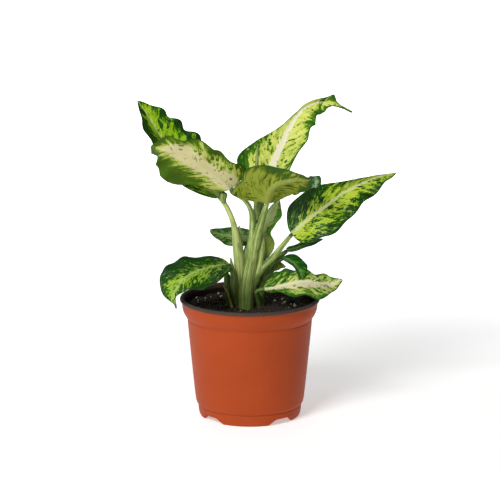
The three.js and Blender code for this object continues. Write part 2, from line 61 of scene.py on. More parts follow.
# Stalks: rows of x, y, z and radius along the middle line, from the foot up. "tone" is how much paler than
# usual a stalk is, and "joint" is the length of the dark joint below its leaf.
SHOOTS = {
    "shoot_centre": [
        {"tone": 0.5, "rows": [
            (-3, -4, 70, 5.6), (-3, -4, 85, 6), (-3, -4, 97, 6.2), (-1, -3, 112, 6), (2, -2, 127, 5.2),
            (4, -1, 141, 4.2), (5, 0, 148, 3),
        ]},
        {"leaf": "leaf_front_left", "tone": 0.7, "joint": 7, "rows": [
            (2, -2, 127, 3.4), (2, -3, 144, 2.6), (1, -4, 157, 2), (-4, -5, 166, 1.8),
            (-12, -6, 172.3, 2.5),
        ]},
        {"leaf": "leaf_front_centre", "tone": 0.5, "rows": [
            (4, -3, 127, 3.4), (7, -6, 143, 2.8), (10, -9, 155, 2.4),
        ]},
        {"leaf": "leaf_top", "tone": 0.6, "rows": [(4, 0, 130, 3.4), (5, 5, 146, 2.6), (8, 7, 158, 2.2)]},
        {"leaf": "leaf_right", "tone": 0.6, "joint": 4, "rows": [
            (-1, -3, 92, 4.2), (3, -2, 105, 4), (10, -2, 114, 3), (17, -2, 121, 2.6), (24, -2, 130, 2),
        ]},
        {"leaf": "leaf_young", "tone": 0.5, "rows": [(1, -1, 97, 3.8), (6, 1, 109, 3.2)]},
        {"tone": 0.9, "rows": [
            (1, -2, 97, 3), (6, -2.5, 110, 3), (8, -2.5, 120, 2.6), (9.3, -2, 130, 2), (10, -1.5, 138, 0.6),
        ]},
    ],
    "shoot_left": [
        {"leaf": "leaf_upper_left", "tone": 1.0, "joint": 3, "rows": [
            (-9, 2, 70, 3.2), (-9, 1, 86, 3.6), (-8, -2, 97, 3.8), (-8, -5, 113, 3.9), (-9, -5, 128, 3.7),
            (-12, -4, 147, 2.2), (-17.5, 0, 160, 1.8),
        ]},
        {"tone": -0.1, "rows": [(-18.5, 0, 162, 1.4), (-19.8, 0, 166, 2.6), (-19.5, 1, 171, 3.8)]},
        {"tone": 0.0, "rows": [
            (-7, -4, 108, 3), (-7, -3, 127, 2.2), (-7, -2, 138, 1.2), (-8, -2, 146, 0.5),
        ]},
        {"leaf": "leaf_low_left", "tone": 0.2, "rows": [
            (-9, 0, 84, 2.8), (-11, -5, 98, 3.4), (-12, -8, 110, 2.6),
        ]},
        {"leaf": "leaf_small_left", "tone": 0.2, "rows": [(-8, -1, 100, 2.4), (-6, 7, 114, 1.8)]},
        {"tone": 0.1, "rows": [(-11, -5, 104, 2), (-13, -4, 113, 1.6), (-14.4, -2, 121.5, 0.5)]},
        {"tone": -0.4, "rows": [
            (-13, 1, 70, 3.2), (-14, 1, 86, 3.6), (-15.5, 1, 98, 3.8), (-17, 1, 106, 2.6),
            (-18, 1, 110, 0.6),
        ]},
    ],
    "shoot_right": [
        {"leaf": "leaf_narrow_right", "tone": -0.2, "joint": 3, "rows": [
            (8, 2, 70, 3), (8, 2, 85, 3.2), (8, 4, 96, 3.6), (12, 7, 107, 3.8), (18, 8, 116, 2.8),
        ]},
        {"leaf": "leaf_arched_right", "tone": -0.2, "rows": [(11, 6, 103, 2.6), (17, 6, 114, 2)]},
        {"leaf": "leaf_tiny_right", "tone": 0.0, "rows": [(8, 4, 95, 2), (12, 4, 104, 1.6)]},
        {"leaf": "leaf_low_right", "tone": 0.0, "rows": [
            (8, 1, 84, 2.4), (6, -5, 92, 2), (5.5, -9, 97, 1.6),
        ]},
    ],
}

# A stalk's radius where it meets its blade and how far it runs on into it, the depth of its groove and its
# ridges as shares of its radius, the groove's width in radians, each ridge wave's share, count and phase,
# the least radius, and the distance from ring to ring. Its direction is read LINE_STEP to either side, and
# its ends close over their radius, or over the first number of END_CLOSING, from the second one's share on.
STALK_TIP_RADIUS = 1.5
STALK_IN_BLADE = 1.2
STALK_GROOVE = 0.12
STALK_RIDGES = 0.02
GROOVE_WIDTH = 0.5
RIDGE_WAVES = ((0.6, 7, 0.5), (0.4, 13, 0.0))
LEAST_RADIUS = 0.2
LINE_STEP = 0.01
END_CLOSING = (0.5, 0.04)
RING_SPACING = 0.8
ROLLED_LEAF = [(5, 0, 148.4, 2.2), (5, 2, 165, 2.3), (5, 3, 185, 1.7), (6, 5, 207, 0.4)]


def even(share):
    """One share of the half width for both halves, all along."""
    return [share, share], [share, share]


# Leaves. The midrib's points and the facing (the way the upper side looks) run from the base to the tip.
# The left and the right half each have their half widths and their folds in degrees, from the base to the
# tip, and a wave's height, count and phase. "pale" and "dark" are the shares of the left and the right half
# width up to which the blade is cream and from which it is dark green.
LEAVES = {
    "leaf_top": {
        "midrib": [
            (12, 4, 169), (17, 10, 188), (24, 18, 204), (30, 24, 216), (38, 28, 227), (49, 29, 233),
            (58, 26, 234), (65, 23, 233), (76.5, 20, 227.5),
        ],
        "facing": [(-0.3, -0.8, 0.5), (-0.3, -0.7, 0.6), (-0.2, -0.6, 0.8)],
        "left": ([14, 33, 26, 15, 14, 14, 12, 2.2, 0.8], [0, -10, -30, -50, -40, -10, 0], (1, 4, 0)),
        "right": ([14, 14, 18, 18.3, 18.5, 13, 9, 2, 0.8], [5, 5, 0], (1.8, 5, 90)),
        "pale": ([0.1, 0.1, 0.12, 0.2, 0.2, 0, -0.2, -1, -1], [0.16, 0.15, 0.13, 0.1, 0.1, 0, -0.2, -1, -1]),
        "dark": ([0.6, 0.65, 0.75, 0.95, 1.1, 0.9, 0.4, 0.2, 0.2],
                 [0.8, 0.9, 0.95, 0.85, 0.65, 0.6, 0.3, 0.2, 0.2]),
    },
    "leaf_upper_left": {
        "midrib": [
            (-22, 2, 166), (-37, 8, 175), (-50, 14, 186), (-61, 20, 200), (-70, 24, 213), (-77, 27, 224),
            (-84, 28, 235),
        ],
        "facing": [(0.2, -0.75, 0.6), (0.2, -0.75, 0.6)],
        "left": ([14, 21, 21, 21, 17, 10, 0.5], [40, 40, 40, 30], (1.5, 4, 0)),
        "right": ([22.5, 25, 25.5, 23.5, 17.5, 11.5, 0.5], [5, 5], (3, 6, 90)),
        "frill": 0.1,
        "pale": ([0.3, 0.1, 0.05, 0.05, 0.05, 0.05, 0], [0.2, 0.1, 0.05, 0.05, 0.05, 0.05, 0]),
        "dark": ([0.6, 0.6, 0.6, 0.5, 0.5, 0.5, 0.3], [0.6, 0.6, 0.6, 0.65, 0.7, 0.6, 0.3]),
    },
    "leaf_front_left": {
        "midrib": [
            (-14, -6, 174), (-28, -16, 189), (-40, -26, 199), (-52, -34, 207), (-64, -40, 210),
            (-72, -39, 211),
        ],
        "facing": [(-0.2, 0.8, 0.6), (-0.2, 0.8, 0.6), (-0.4, 0.6, 0.6)],
        "left": ([28, 21.5, 16, 17, 18, 16, 14, 12.5, 12.5, 8.5, 2.5], [5, 5], (2.5, 4, 40)),
        "right": ([11, 14, 17, 26.5, 29.5, 26, 24, 21, 17, 15.5, 8], [5, 3, 0, 0, 2, 5, 5], (2, 3, 90)),
        "pale": ([0.6, 0.45, 0.35, 0.3, 0.35, 0.5, 0.6, 0.6, 0.15, -0.6, -1],
                 [0.5, 0.45, 0.32, 0.26, 0.22, 0.24, 0.24, 0.1, -0.15, -0.8, -1]),
        "dark": ([0.7, 0.8, 0.85, 0.85, 0.8, 0.75, 0.8, 0.85, 0.6, 0, -0.5],
                 [1, 0.95, 0.7, 0.5, 0.4, 0.36, 0.36, 0.34, 0.15, -0.3, -0.5]),
    },
    "leaf_front_centre": {
        "midrib": [
            (13, -11, 164.4), (14.2, -18, 173), (18, -25, 180.6), (25.5, -30, 184.8), (34.4, -33, 187),
            (41.8, -32, 186.8), (45.2, -32, 188.4), (47.8, -34, 189.8), (48.8, -37, 187.6),
            (48.6, -38.6, 184.4), (48, -38, 181.6),
        ],
        "facing": [
            (0, 0.8, 0.6), (0, 0.8, 0.6), (0, 0.8, 0.6), (-0.1, 0.85, 0.5), (-0.2, 0.85, 0.4),
            (-0.2, 0.85, 0.4), (-0.2, 0.4, 0.9), (0.2, -0.4, 1), (0.2, -0.9, 0.5), (0.2, -1, 0),
            (0.1, -0.9, -0.4),
        ],
        "left": ([12, 17, 19, 17, 14, 12, 6.5, 4.4, 4.6, 4.4, 2.5],
                 [5, 5, 5, 5, 5, 5, 0, -20, -30, -30, -20], (0.8, 3, 0)),
        "right": (
            [26, 34, 28, 24, 25, 19, 12, 8.5, 5.5, 4, 2.5, 2.6, 3, 3.6, 4.2, 4.6, 4.6, 4.5, 4.4, 3.8, 2.5],
            [0, 5, 9, 13, 12, 9, 0, -20, -30, -30, -20],
            (1.5, 3, 90),
        ),
        "pale": even(0),
        "dark": ([1, 1, 1, 1, 0.9, 0, -0.5, -0.5, -0.5, -0.5, -0.5],
                 [1.1, 1.05, 0.95, 0.3, -0.1, -0.5, -0.5, -0.5, -0.5, -0.5, -0.5]),
    },
    "leaf_right": {
        "midrib": [
            (31, -2, 139), (43, -2, 150), (57, -2, 161), (70, -2, 171), (83, -2, 178), (97, 0, 183),
            (109, 3, 185),
        ],
        "facing": [(-0.3, -0.8, 0.5), (-0.2, -0.7, 0.6), (-0.2, -0.6, 0.8)],
        "left": ([12, 20, 20, 16, 12, 7, 0.5], [10, 0, -25, -42, -40], (1, 3, 0)),
        "right": ([20, 18.6, 19, 21, 22.4, 21.8, 18.8, 18, 16, 12.4, 8.4, 5, 0.5], [0, 0], (2, 4, -60)),
        "pale": ([0.1, 0.04, 0.04, 0.05, 0.06, 0.08, 0], [0.08, 0.05, 0.05, 0.05, 0.08, 0.1, 0]),
        "dark": ([0.35, 0.25, 0.5, 0.7, 0.9, 0.9, 0.4], [0.8, 0.7, 0.6, 0.65, 0.55, 0.7, 0.4]),
    },
    "leaf_low_left": {
        "midrib": [
            (-15, -12, 119), (-25, -20, 119), (-37, -26, 117), (-46, -29, 113), (-52, -30, 107),
            (-56, -29, 98), (-54.5, -27, 88.3),
        ],
        "facing": [(-0.1, -0.5, 0.9), (-0.2, -0.5, 0.85), (-0.45, -0.65, 0.4), (-0.55, -0.75, 0.1)],
        "left": ([10, 14, 23, 17, 8, 2.2, 0.5], [5, 5], (1, 4, 0)),
        "right": ([15, 13, 12, 14.5, 17, 18, 19, 19, 18, 18.5, 12, 2, 0.5], [5, 5], (1.2, 4, 200)),
        "pale": ([0, 0.04, 0.04, 0.04, 0.04, 0.04, 0], [0, 0.04, 0.04, 0.04, 0.04, 0.04, 0]),
        "dark": ([0.3, 0.5, 0.6, 0.6, 0.5, 0.4, 0.2], [0.2, 0.25, 0.28, 0.35, 0.45, 0.45, 0.3]),
    },
    "leaf_low_right": {
        "midrib": [
            (10, -10, 99), (19, -14, 101), (29, -17, 104), (39, -18, 106), (50, -16, 105), (60, -12, 103),
            (69, -10, 106),
        ],
        "facing": [(0, -0.5, 0.8), (0, -0.5, 0.8)],
        "left": ([18, 17, 15, 13, 10, 9.5, 1], [5, 5], (1.5, 4, 0)),
        "right": ([5, 5, 12, 16, 17, 8, 1], [5, 5], (1.5, 4, 90)),
        "pale": ([0.05, 0.1, 0.16, 0.2, 0.2, 0.2, 0.1], [0.3, 0.4, 0.4, 0.35, 0.3, 0.3, 0.1]),
        "dark": ([0.5, 0.5, 0.55, 0.75, 0.9, 0.9, 0.5], [0.6, 0.7, 0.8, 0.85, 0.85, 0.85, 0.5]),
    },
    "leaf_young": {
        "midrib": [
            (11.5, 3, 119), (10.5, 3, 130), (10.5, 2, 140), (13, 1, 149), (17, 2, 157), (22, 4, 164),
        ],
        "facing": [(0.3, -0.9, 0.2), (0.2, -0.9, 0.2), (-0.1, -0.9, 0.2), (-0.2, -0.9, 0.3)],
        "left": ([1.2, 2, 2, 2.5, 3, 1], [0, 20], (0.3, 2, 0)),
        "right": ([4, 8.5, 5, 7.5, 8, 1], [15, 10, -10], (0.8, 2, 90)),
        "pale": ([0.3, 0.3, 1, 1.2, 1.2, 1], [0, 0, 0.2, 0.45, 0.4, 0.3]),
        "dark": ([1.6, 1.6, 1.6, 1.6, 1.6, 1.6], [1.2, 1.2, 0.7, 0.5, 0.45, 0.4]),
    },
    "leaf_small_left": {
        "midrib": [(0, 12, 130), (-9, 14, 132), (-18, 15, 134), (-25, 14, 136), (-30, 12, 139)],
        "facing": [(0, -0.7, 0.7), (0, -0.7, 0.7)],
        "left": ([5, 8, 8, 5, 1], [10, 10], (0.5, 2, 0)),
        "right": ([10, 10, 7, 5, 1], [10, 10], (0.8, 2, 90)),
        "pale": even(0),
        "dark": ([0.5, 0.6, 0.6, 0.5, 0], [0.5, 0.6, 0.6, 0.4, 0]),
    },
    "leaf_narrow_right": {
        "midrib": [(27, 9, 124), (35, 10, 126), (45, 12, 129), (55, 14, 132)],
        "facing": [(-0.2, -0.4, 0.9), (0, -0.4, 0.9)],
        "left": ([3, 4, 4, 0.6], [10, 10], (0.5, 2, 0)),
        "right": ([3, 4, 4, 0.6], [10, 10], (0.5, 2, 90)),
        "pale": even(0),
        "dark": even(0),
        "look": "small",
    },
    "leaf_arched_right": {
        "midrib": [
            (25, 4, 120.5), (31.5, -3, 118.2), (35.2, -9, 115.5), (37.7, -14, 112.2), (39, -18, 108.2),
        ],
        "facing": [(0.3, -0.7, 0.6), (0.4, -0.7, 0.6), (0.5, -0.7, 0.5)],
        "left": ([5, 8, 8, 5, 0.6], [10, 10], (0.5, 2, 0)),
        "right": ([3.5, 3.5, 3.5, 3, 0.6], [10, 10], (0.5, 2, 90)),
        "pale": even(0),
        "dark": ([0, 0.2, 0.4, 0.5, 0.4], [0.2, 0.2, 0.4, 0.5, 0.4]),
        "look": "small",
    },
    "leaf_tiny_right": {
        "midrib": [(17, 6, 110), (22, 7, 113), (27, 8, 112)],
        "facing": [(0.2, -0.8, 0.6), (0.2, -0.8, 0.6)],
        "left": ([2, 3, 0.6], [10, 10], (0.3, 2, 0)),
        "right": ([2, 3, 0.6], [10, 10], (0.3, 2, 90)),
        "pale": even(0),
        "dark": even(0.8),
        "look": "tiny",
    },
    "dry_sheath": {
        "midrib": [(-13, -8, 83.8), (-15, -8, 91), (-17, -7, 97), (-20, -6, 101)],
        "facing": [(-0.3, -0.9, 0.3), (-0.3, -0.9, 0.3)],
        "left": ([1.4, 1.6, 1.4, 0.6], [15, 15], (0.2, 2, 0)),
        "right": ([1.4, 1.6, 1.4, 0.6], [15, 15], (0.2, 2, 90)),
        "pale": even(0.5),
        "dark": even(1.2),
        "look": "straw",
    },
}

# Half width of the midrib's stripe in millimetres, from the base to the tip, and how many times the midrib
# setting it stands out below.
RIBS = {
    "leaf_top": ([3.4, 3.2, 3.0, 2.6, 1.8, 0.8, 0, -1, -1], 0.5),
    "leaf_upper_left": ([1.2, 1.0, 0.8, 0.5], 1.0),
    "leaf_front_left": ([1.6, 1.2, 0.9, 0.6, 0.2, -1], 1.2),
    "leaf_front_centre": ([2.8, 2.8, 2.2, 1.4, 0.8, 0.5, 0.4, 0.3], 2.2),
    "leaf_right": ([2.0, 1.4, 1.2, 1.0, 0.7, 0.4], 1.2),
    "leaf_low_left": ([0.3, 0.4, 0.7, 0.8, 0.6, 0.2, -1], 1.0),
    "leaf_low_right": ([1.4, 1.0, 0.8, 0.5], 1.0),
}
PLAIN_RIB = ([1.0, 0.8, 0.5], 0.6)

# Marks that the photograph shows on the blades: dark and light variegation, and among the dark marks some
# painted shadow, such as the band across leaf_top where its fold shades it. Each is its middle's share along
# and share across (minus is left), then its length and width in millimetres and its turn from the midrib
# towards the edge in degrees.
DARK_MARKS_AND_SHADOWS = {
    "leaf_top": [
        (0.24, -0.42, 4, 2.6, 45), (0.265, -0.55, 3, 2, 45), (0.26, -0.68, 2, 1.4, 45),
        (0.215, -0.72, 4.5, 2.4, 45), (0.175, -0.5, 2, 1.4, 45), (0.13, -0.5, 2.4, 1.6, 45),
        (0.155, -0.2, 1.8, 1.2, 45), (0.38, 0.22, 3, 1, 60), (0.34, 0.45, 2.2, 1.4, 45),
        (0.29, 0.35, 8, 1.3, 60), (0.2, 0.15, 1.8, 1.2, 45), (0.2, 0.3, 2, 1.4, 45),
        (0.165, 0.4, 2.2, 1.6, 45), (0.165, 0.6, 3, 2.2, 45), (0.135, 0.25, 1.8, 1.2, 45),
        (0.11, 0.35, 2, 1.4, 45), (0.47, 0.45, 2.6, 1.6, 45), (0.45, 0.6, 2.6, 1.6, 45),
        # Painted shadow: the band where leaf_top's fold shades the blade.
        (0.68, -0.2, 20, 4, 90),
    ],
    "leaf_upper_left": [
        (0.68, 0.3, 9, 3.2, 10), (0.84, 0.1, 4, 1.2, 0), (0.68, 0.75, 3, 1.5, 0), (0.75, -0.5, 14, 2, 0),
        (0.78, -0.75, 12, 1.6, 0), (0.66, -0.55, 10, 1.6, 0), (0.88, -0.3, 6, 1, 0), (0.55, 0.9, 8, 3, 0),
        (0.15, -0.6, 6, 3, 30), (0.17, -0.25, 4, 2.4, 30), (0.21, -0.1, 5, 3, 30), (0.08, -0.8, 6, 2, 30),
    ],
    "leaf_front_left": [
        (0.17, -0.28, 2.6, 1.8, 0), (0.2, -0.2, 2, 1.4, 0), (0.13, -0.65, 3, 2.4, 0),
        (0.07, -0.3, 2.6, 2.2, 0), (0.3, -0.55, 4, 2.6, 20), (0.26, -0.64, 3, 2.4, 20),
        (0.48, -0.45, 3, 2, 0), (0.43, -0.45, 3, 1.8, 0), (0.38, -0.25, 2, 1.4, 0),
        (0.6, -0.25, 3.4, 1.6, 0), (0.62, -0.55, 4, 1.8, 0), (0.22, -0.5, 2.4, 2, 0),
        (0.24, -0.35, 2, 1.4, 0), (0.33, -0.92, 16, 7, 0), (0.12, -0.9, 8, 3, 40), (0.36, 0.3, 9, 1.2, 50),
        (0.33, 0.42, 9, 1.2, 52), (0.28, 0.38, 10, 1.2, 50), (0.27, 0.55, 9, 1.4, 55),
        (0.22, 0.5, 9, 1, 50), (0.2, 0.7, 9, 2.2, 50), (0.15, 0.55, 8, 0.8, 45), (0.12, 0.7, 8, 0.9, 40),
        (0.86, 0.35, 7, 1.4, 40), (0.8, 0.5, 8, 1.6, 40),
    ],
    "leaf_front_centre": [
        (0.06, 0.88, 5, 2, 0), (0.05, 0.62, 9, 1, 80), (0.045, 0.4, 8, 1, 80), (0.075, 0.5, 8, 0.8, 75),
        (0.03, 0.7, 8, 1, 80), (0.1, -0.35, 8, 0.9, 60), (0.13, -0.45, 8, 0.9, 55),
        (0.16, -0.4, 9, 1.0, 50), (0.2, -0.5, 8, 1.2, 45), (0.08, -0.6, 7, 0.9, 60),
        (0.24, -0.35, 9, 1.0, 30), (0.28, -0.5, 9, 1.2, 25), (0.32, -0.3, 8, 1.0, 15),
        (0.1, -0.75, 7, 0.8, 55), (0.14, -0.7, 7, 0.9, 50), (0.36, -0.55, 8, 1.2, 10),
        (0.4, -0.15, 8, 1.4, 0), (0.27, 0.7, 6, 2, 30), (0.22, 0.45, 6, 1, 20), (0.25, 0.2, 6, 0.9, 10),
        (0.15, 0.8, 6, 1, 60), (0.12, 0.3, 7, 0.7, 60), (0.18, 0.3, 6, 0.7, 50),
    ],
    "leaf_right": [
        (0.33, -0.37, 4.5, 3, 50), (0.25, -0.12, 2.4, 1.8, 50), (0.27, -0.6, 5, 3, 60),
        (0.52, -0.6, 6, 4, 45), (0.22, 0.28, 5.5, 1.5, 30), (0.21, 0.1, 2.4, 1.2, 30),
        (0.19, 0.55, 5, 2, 30), (0.3, 0.37, 6, 2.4, 30), (0.355, 0.13, 5.5, 3, 30),
        (0.42, 0.12, 4, 1.8, 30), (0.32, 0.08, 2, 1.2, 30), (0.47, 0.38, 5, 1.4, 30),
        (0.4, 0.45, 6, 1.6, 20), (0.48, 0.7, 8, 4.5, 20), (0.54, 0.55, 6, 3.5, 30),
        (0.645, 0.13, 5, 1.2, 20), (0.6, 0.2, 4, 1, 20), (0.66, 0.3, 4, 1, 20), (0.8, 0.3, 5, 1.2, 10),
        (0.72, 0.35, 4, 1, 20), (0.1, 0.62, 3, 2, 30), (0.14, 0.8, 3, 1.6, 30), (0.3, 0.75, 4, 2, 30),
    ],
    "leaf_low_left": [
        (0.43, 0.25, 3, 1.8, 40), (0.5, 0.12, 5, 1.4, 20), (0.55, 0.6, 3, 2, 40),
        (0.48, -0.3, 2.4, 1.8, 40), (0.46, -0.65, 2.4, 1.8, 40), (0.36, -0.5, 3.6, 3, 40),
        (0.31, -0.25, 2, 1.2, 40), (0.22, -0.3, 2.4, 1.8, 40), (0.42, -0.3, 2, 1.2, 40),
        (0.28, -0.42, 2, 1.4, 40), (0.6, 0.45, 2.4, 1.4, 40), (0.66, 0.7, 3, 1.6, 40),
        (0.1, 0.45, 6, 2.6, 20), (0.37, 0.35, 2.4, 1.4, 40), (0.3, 0.12, 2, 1, 40),
        (0.55, -0.5, 2, 1.2, 40),
    ],
    "leaf_low_right": [
        (0.48, -0.45, 8, 3, 90), (0.53, 0.5, 2.6, 1.2, 30), (0.6, 0.0, 2, 1.4, 0), (0.58, -0.3, 3, 2, 30),
        (0.67, 0.35, 3, 1.6, 0), (0.7, 0.2, 2, 1.4, 0), (0.72, 0.55, 3, 2, 30), (0.74, 0.2, 2, 2, 0),
        (0.77, 0.05, 3, 1.4, 0), (0.78, 0.3, 2.4, 1.4, 0), (0.65, 0.55, 2, 1.2, 30), (0.8, 0.5, 3, 1.6, 0),
        (0.63, -0.15, 1.6, 1.2, 0), (0.1, -0.15, 5, 1.4, 0), (0.2, -0.35, 5, 1.6, 20),
        (0.3, -0.28, 4, 1.2, 20), (0.4, -0.6, 4, 2, 20), (0.12, 0.7, 6, 2, 0),
    ],
}
LIGHT_MARKS = {
    "leaf_top": [(0.14, -0.85, 3, 2, 45), (0.19, -0.88, 3, 2, 45), (0.78, 0.2, 8, 5, 0)],
    "leaf_upper_left": [
        (0.75, 0.15, 14, 3.2, 0), (0.6, 0.58, 12, 4.5, 10), (0.72, -0.25, 14, 1.6, 0),
        (0.83, -0.55, 8, 1.2, 0), (0.9, 0.4, 6, 3, 0), (0.16, -0.45, 4, 2.4, 30), (0.1, -0.35, 6, 3, 30),
        (0.48, 0.85, 4, 3, 45),
    ],
    "leaf_front_left": [
        (0.3, 0.18, 10, 2, 50), (0.25, 0.45, 9, 1.2, 50), (0.18, 0.62, 9, 1.2, 45), (0.78, 0.25, 10, 2, 30),
        (0.84, 0.12, 8, 2, 20), (0.8, -0.2, 8, 3, 0), (0.09, -0.75, 4, 2.4, 40), (0.14, -0.5, 5, 2, 30),
        (0.2, -0.66, 4, 2, 30), (0.4, -0.35, 5, 2.4, 20),
    ],
    "leaf_front_centre": [
        (0.34, 0.72, 5, 2.2, 0), (0.385, 0.6, 4, 2, 0), (0.83, 0, 3.4, 3.2, 0), (0.55, -0.1, 4, 2, 0),
        (0.05, 0.25, 8, 1.2, 70), (0.12, 0.55, 9, 1, 75), (0.2, 0.6, 7, 1.2, 40),
        (0.22, -0.15, 10, 1.6, 10), (0.12, -0.15, 8, 1.2, 30), (0.3, -0.15, 10, 1.4, 0),
    ],
    "leaf_right": [
        (0.2, -0.18, 6, 3, 60), (0.1, 0.0, 8, 6, 0), (0.55, 0.28, 9, 4.5, 30), (0.42, -0.22, 8, 4, 30),
        (0.66, -0.5, 9, 3, 0), (0.44, -0.7, 4, 2.5, 30), (0.88, 0.5, 4, 3, 0), (0.26, -0.42, 4, 2, 60),
        (0.36, -0.5, 4, 2, 60),
    ],
    "leaf_low_left": [
        (0.34, 0.33, 4, 2.2, 30), (0.25, 0.25, 5, 2.4, 20), (0.5, -0.15, 12, 2, 0), (0.4, -0.15, 8, 2, 0),
        (0.62, 0.15, 6, 2, 0), (0.45, -0.5, 3, 2, 30), (0.33, -0.35, 3, 2, 30), (0.2, 0.05, 6, 2, 0),
        (0.7, 0.3, 6, 2, 0),
    ],
    "leaf_low_right": [
        (0.62, 0.68, 3.2, 2.6, 0), (0.73, 0.68, 2.4, 1.8, 0), (0.27, -0.7, 5, 2, 30),
        (0.33, -0.5, 6, 1.6, 20), (0.4, -0.35, 5, 1.6, 20), (0.25, -0.4, 4, 1.4, 20),
        (0.66, -0.6, 4, 2.4, 0), (0.77, -0.1, 4, 2, 0), (0.53, -0.1, 4, 2, 0),
    ],
}

# Width and strength of a blade's dark edge, and width of the midrib stripe's soft edge.
DARK_RIM = 0.7
DARK_RIM_SHARE = 0.9
STRIPE_EDGE = 0.8

# What all blades share. The base is rounded over a share of the length, and the edge frills by a share of
# the width. Waves calm down to both ends by a power. The thickness falls off over one part of the half width
# in EDGE_STEEPNESS.
BASE_ROUNDING = 0.14
FRILL = 0.05
CALM_POWER = 0.6
LEAST_HALF_WIDTH = 0.5
EDGE_STEEPNESS = 12

# The midrib's bell curve is as wide as the first number plus the second times its stripe, and it tapers by a
# power. The channel above it is a share as deep. The side veins have a spacing, a sweep towards the tip and a
# height, which is full from VEIN_START outward. HALVES_APART shifts the right half's pattern. A direction is
# read between two places SHORT_STEP to either side.
RIB_BELL = (0.8, 0.7)
RIB_TAPER = 0.7
UPPER_CHANNEL = 0.35
VEIN_SPACING = 2.4
VEIN_SWEEP = 0.008
VEIN_HEIGHT = 0.07
VEIN_START = 4
HALVES_APART = 137.0
SHORT_STEP = 0.001

# Colours of each blade: the upper side's and the lower side's cream, pale, lime, green, deep and midrib,
# then how far blotches, streaks and specks move the tones, how many loose dark flecks there are, 0 to 1,
# and how many times narrower than usual its streaks are. Without a lower side, both have the same colours.
LIME_UNDERSIDE = ("a9b565", "8ba53a", "6f8f26", "4a6e1b", "36551a", "b5bb74")
CREAM_UNDERSIDE = ("c9c98a", "a9b85a", "8aa03c", "5c7a20", "42600f", "c9c78e")
DARK_UNDERSIDE = ("7a9650", "6b8740", "557433", "3c5c22", "2b4a1a", "6f8a48")
LOOKS = {
    "leaf_top": {
        "slot": "cream_leaf", "upper": ("eeeabc", "dbe074", "b4c848", "4a7c18", "24540c", "f0eacd"),
        "lower": CREAM_UNDERSIDE, "blotch": 0.8, "streak": 0.6, "speck": 1.1, "flecks": 0.4,
    },
    "leaf_upper_left": {
        "slot": "lime_leaf", "upper": ("c6d384", "9fc320", "78a514", "2f6a10", "1a3f0a", "a9c05c"),
        "lower": LIME_UNDERSIDE, "blotch": 1.6, "streak": 1.2, "speck": 1.2, "flecks": 0.6,
    },
    "leaf_front_left": {
        "slot": "cream_leaf", "upper": ("f1efca", "dbe070", "a9c242", "3f7424", "1f4a16", "f0e8d0"),
        "lower": ("d8d09a", "c6ca6c", "8fa634", "54740c", "405f04", "d8ce9c"), "blotch": 0.9, "streak": 0.7,
        "speck": 1.1, "flecks": 0.3,
    },
    "leaf_front_centre": {
        "slot": "olive_leaf", "upper": ("c9d98a", "a6bc7c", "6f9468", "3a6440", "24482c", "5d8458"),
        "lower": ("a59a50", "8e9a38", "74821a", "56660a", "2f5214", "8d9746"), "blotch": 0.6, "streak": 2.0,
        "speck": 0.5, "flecks": 0.1, "fine": 1.6,
    },
    "leaf_right": {
        "slot": "lime_leaf", "upper": ("cfd690", "b2c43c", "7fa018", "3c7408", "15350c", "c4cb88"),
        "lower": LIME_UNDERSIDE, "blotch": 1.1, "streak": 0.9, "speck": 2.8, "flecks": 0.7,
    },
    "leaf_low_left": {
        "slot": "lime_leaf", "upper": ("a6bb66", "92b034", "5f8c18", "28580c", "163b0c", "94aa5c"),
        "lower": LIME_UNDERSIDE, "blotch": 0.8, "streak": 0.8, "speck": 3.0, "flecks": 0.8,
    },
    "leaf_low_right": {
        "slot": "cream_leaf", "upper": ("e2dcae", "c6cf72", "7ba032", "43781a", "224f16", "ece0c0"),
        "lower": CREAM_UNDERSIDE, "blotch": 1.4, "streak": 1.4, "speck": 1.6, "flecks": 0.5,
    },
    "leaf_young": {
        "slot": "olive_leaf", "upper": ("aabb78", "8a9a40", "788836", "4f7f1a", "3f6a16", "a3b06a"),
        "blotch": 0.4, "streak": 1.2, "speck": 0.3, "flecks": 0.0,
    },
    "leaf_small_left": {
        "slot": "dark_leaf", "upper": ("93ab6c", "7d9858", "5a7c3e", "3c6426", "26481a", "6f8e4c"),
        "lower": DARK_UNDERSIDE, "blotch": 0.8, "streak": 1.6, "speck": 2.8, "flecks": 0.3,
    },
    "small": {
        "slot": "dark_leaf", "upper": ("8fb266", "6f9a4a", "3f8020", "276312", "1a4712", "5f8a40"),
        "lower": DARK_UNDERSIDE, "blotch": 0.8, "streak": 1.6, "speck": 1.4, "flecks": 0.4,
    },
    "tiny": {
        "slot": "olive_leaf", "upper": ("a3a85a", "7f8f3a", "6b7f2c", "56701e", "3f5a16", "8f9a48"),
        "blotch": 0.4, "streak": 1.2, "speck": 0.4, "flecks": 0.0,
    },
    "straw": {
        "slot": "dry_leaf", "upper": ("a89a4c", "94903f", "7d8034", "5d6427", "3f4a1c", "b0a45c"),
        "blotch": 0.4, "streak": 1.6, "speck": 0.6, "flecks": 0.0,
    },
}

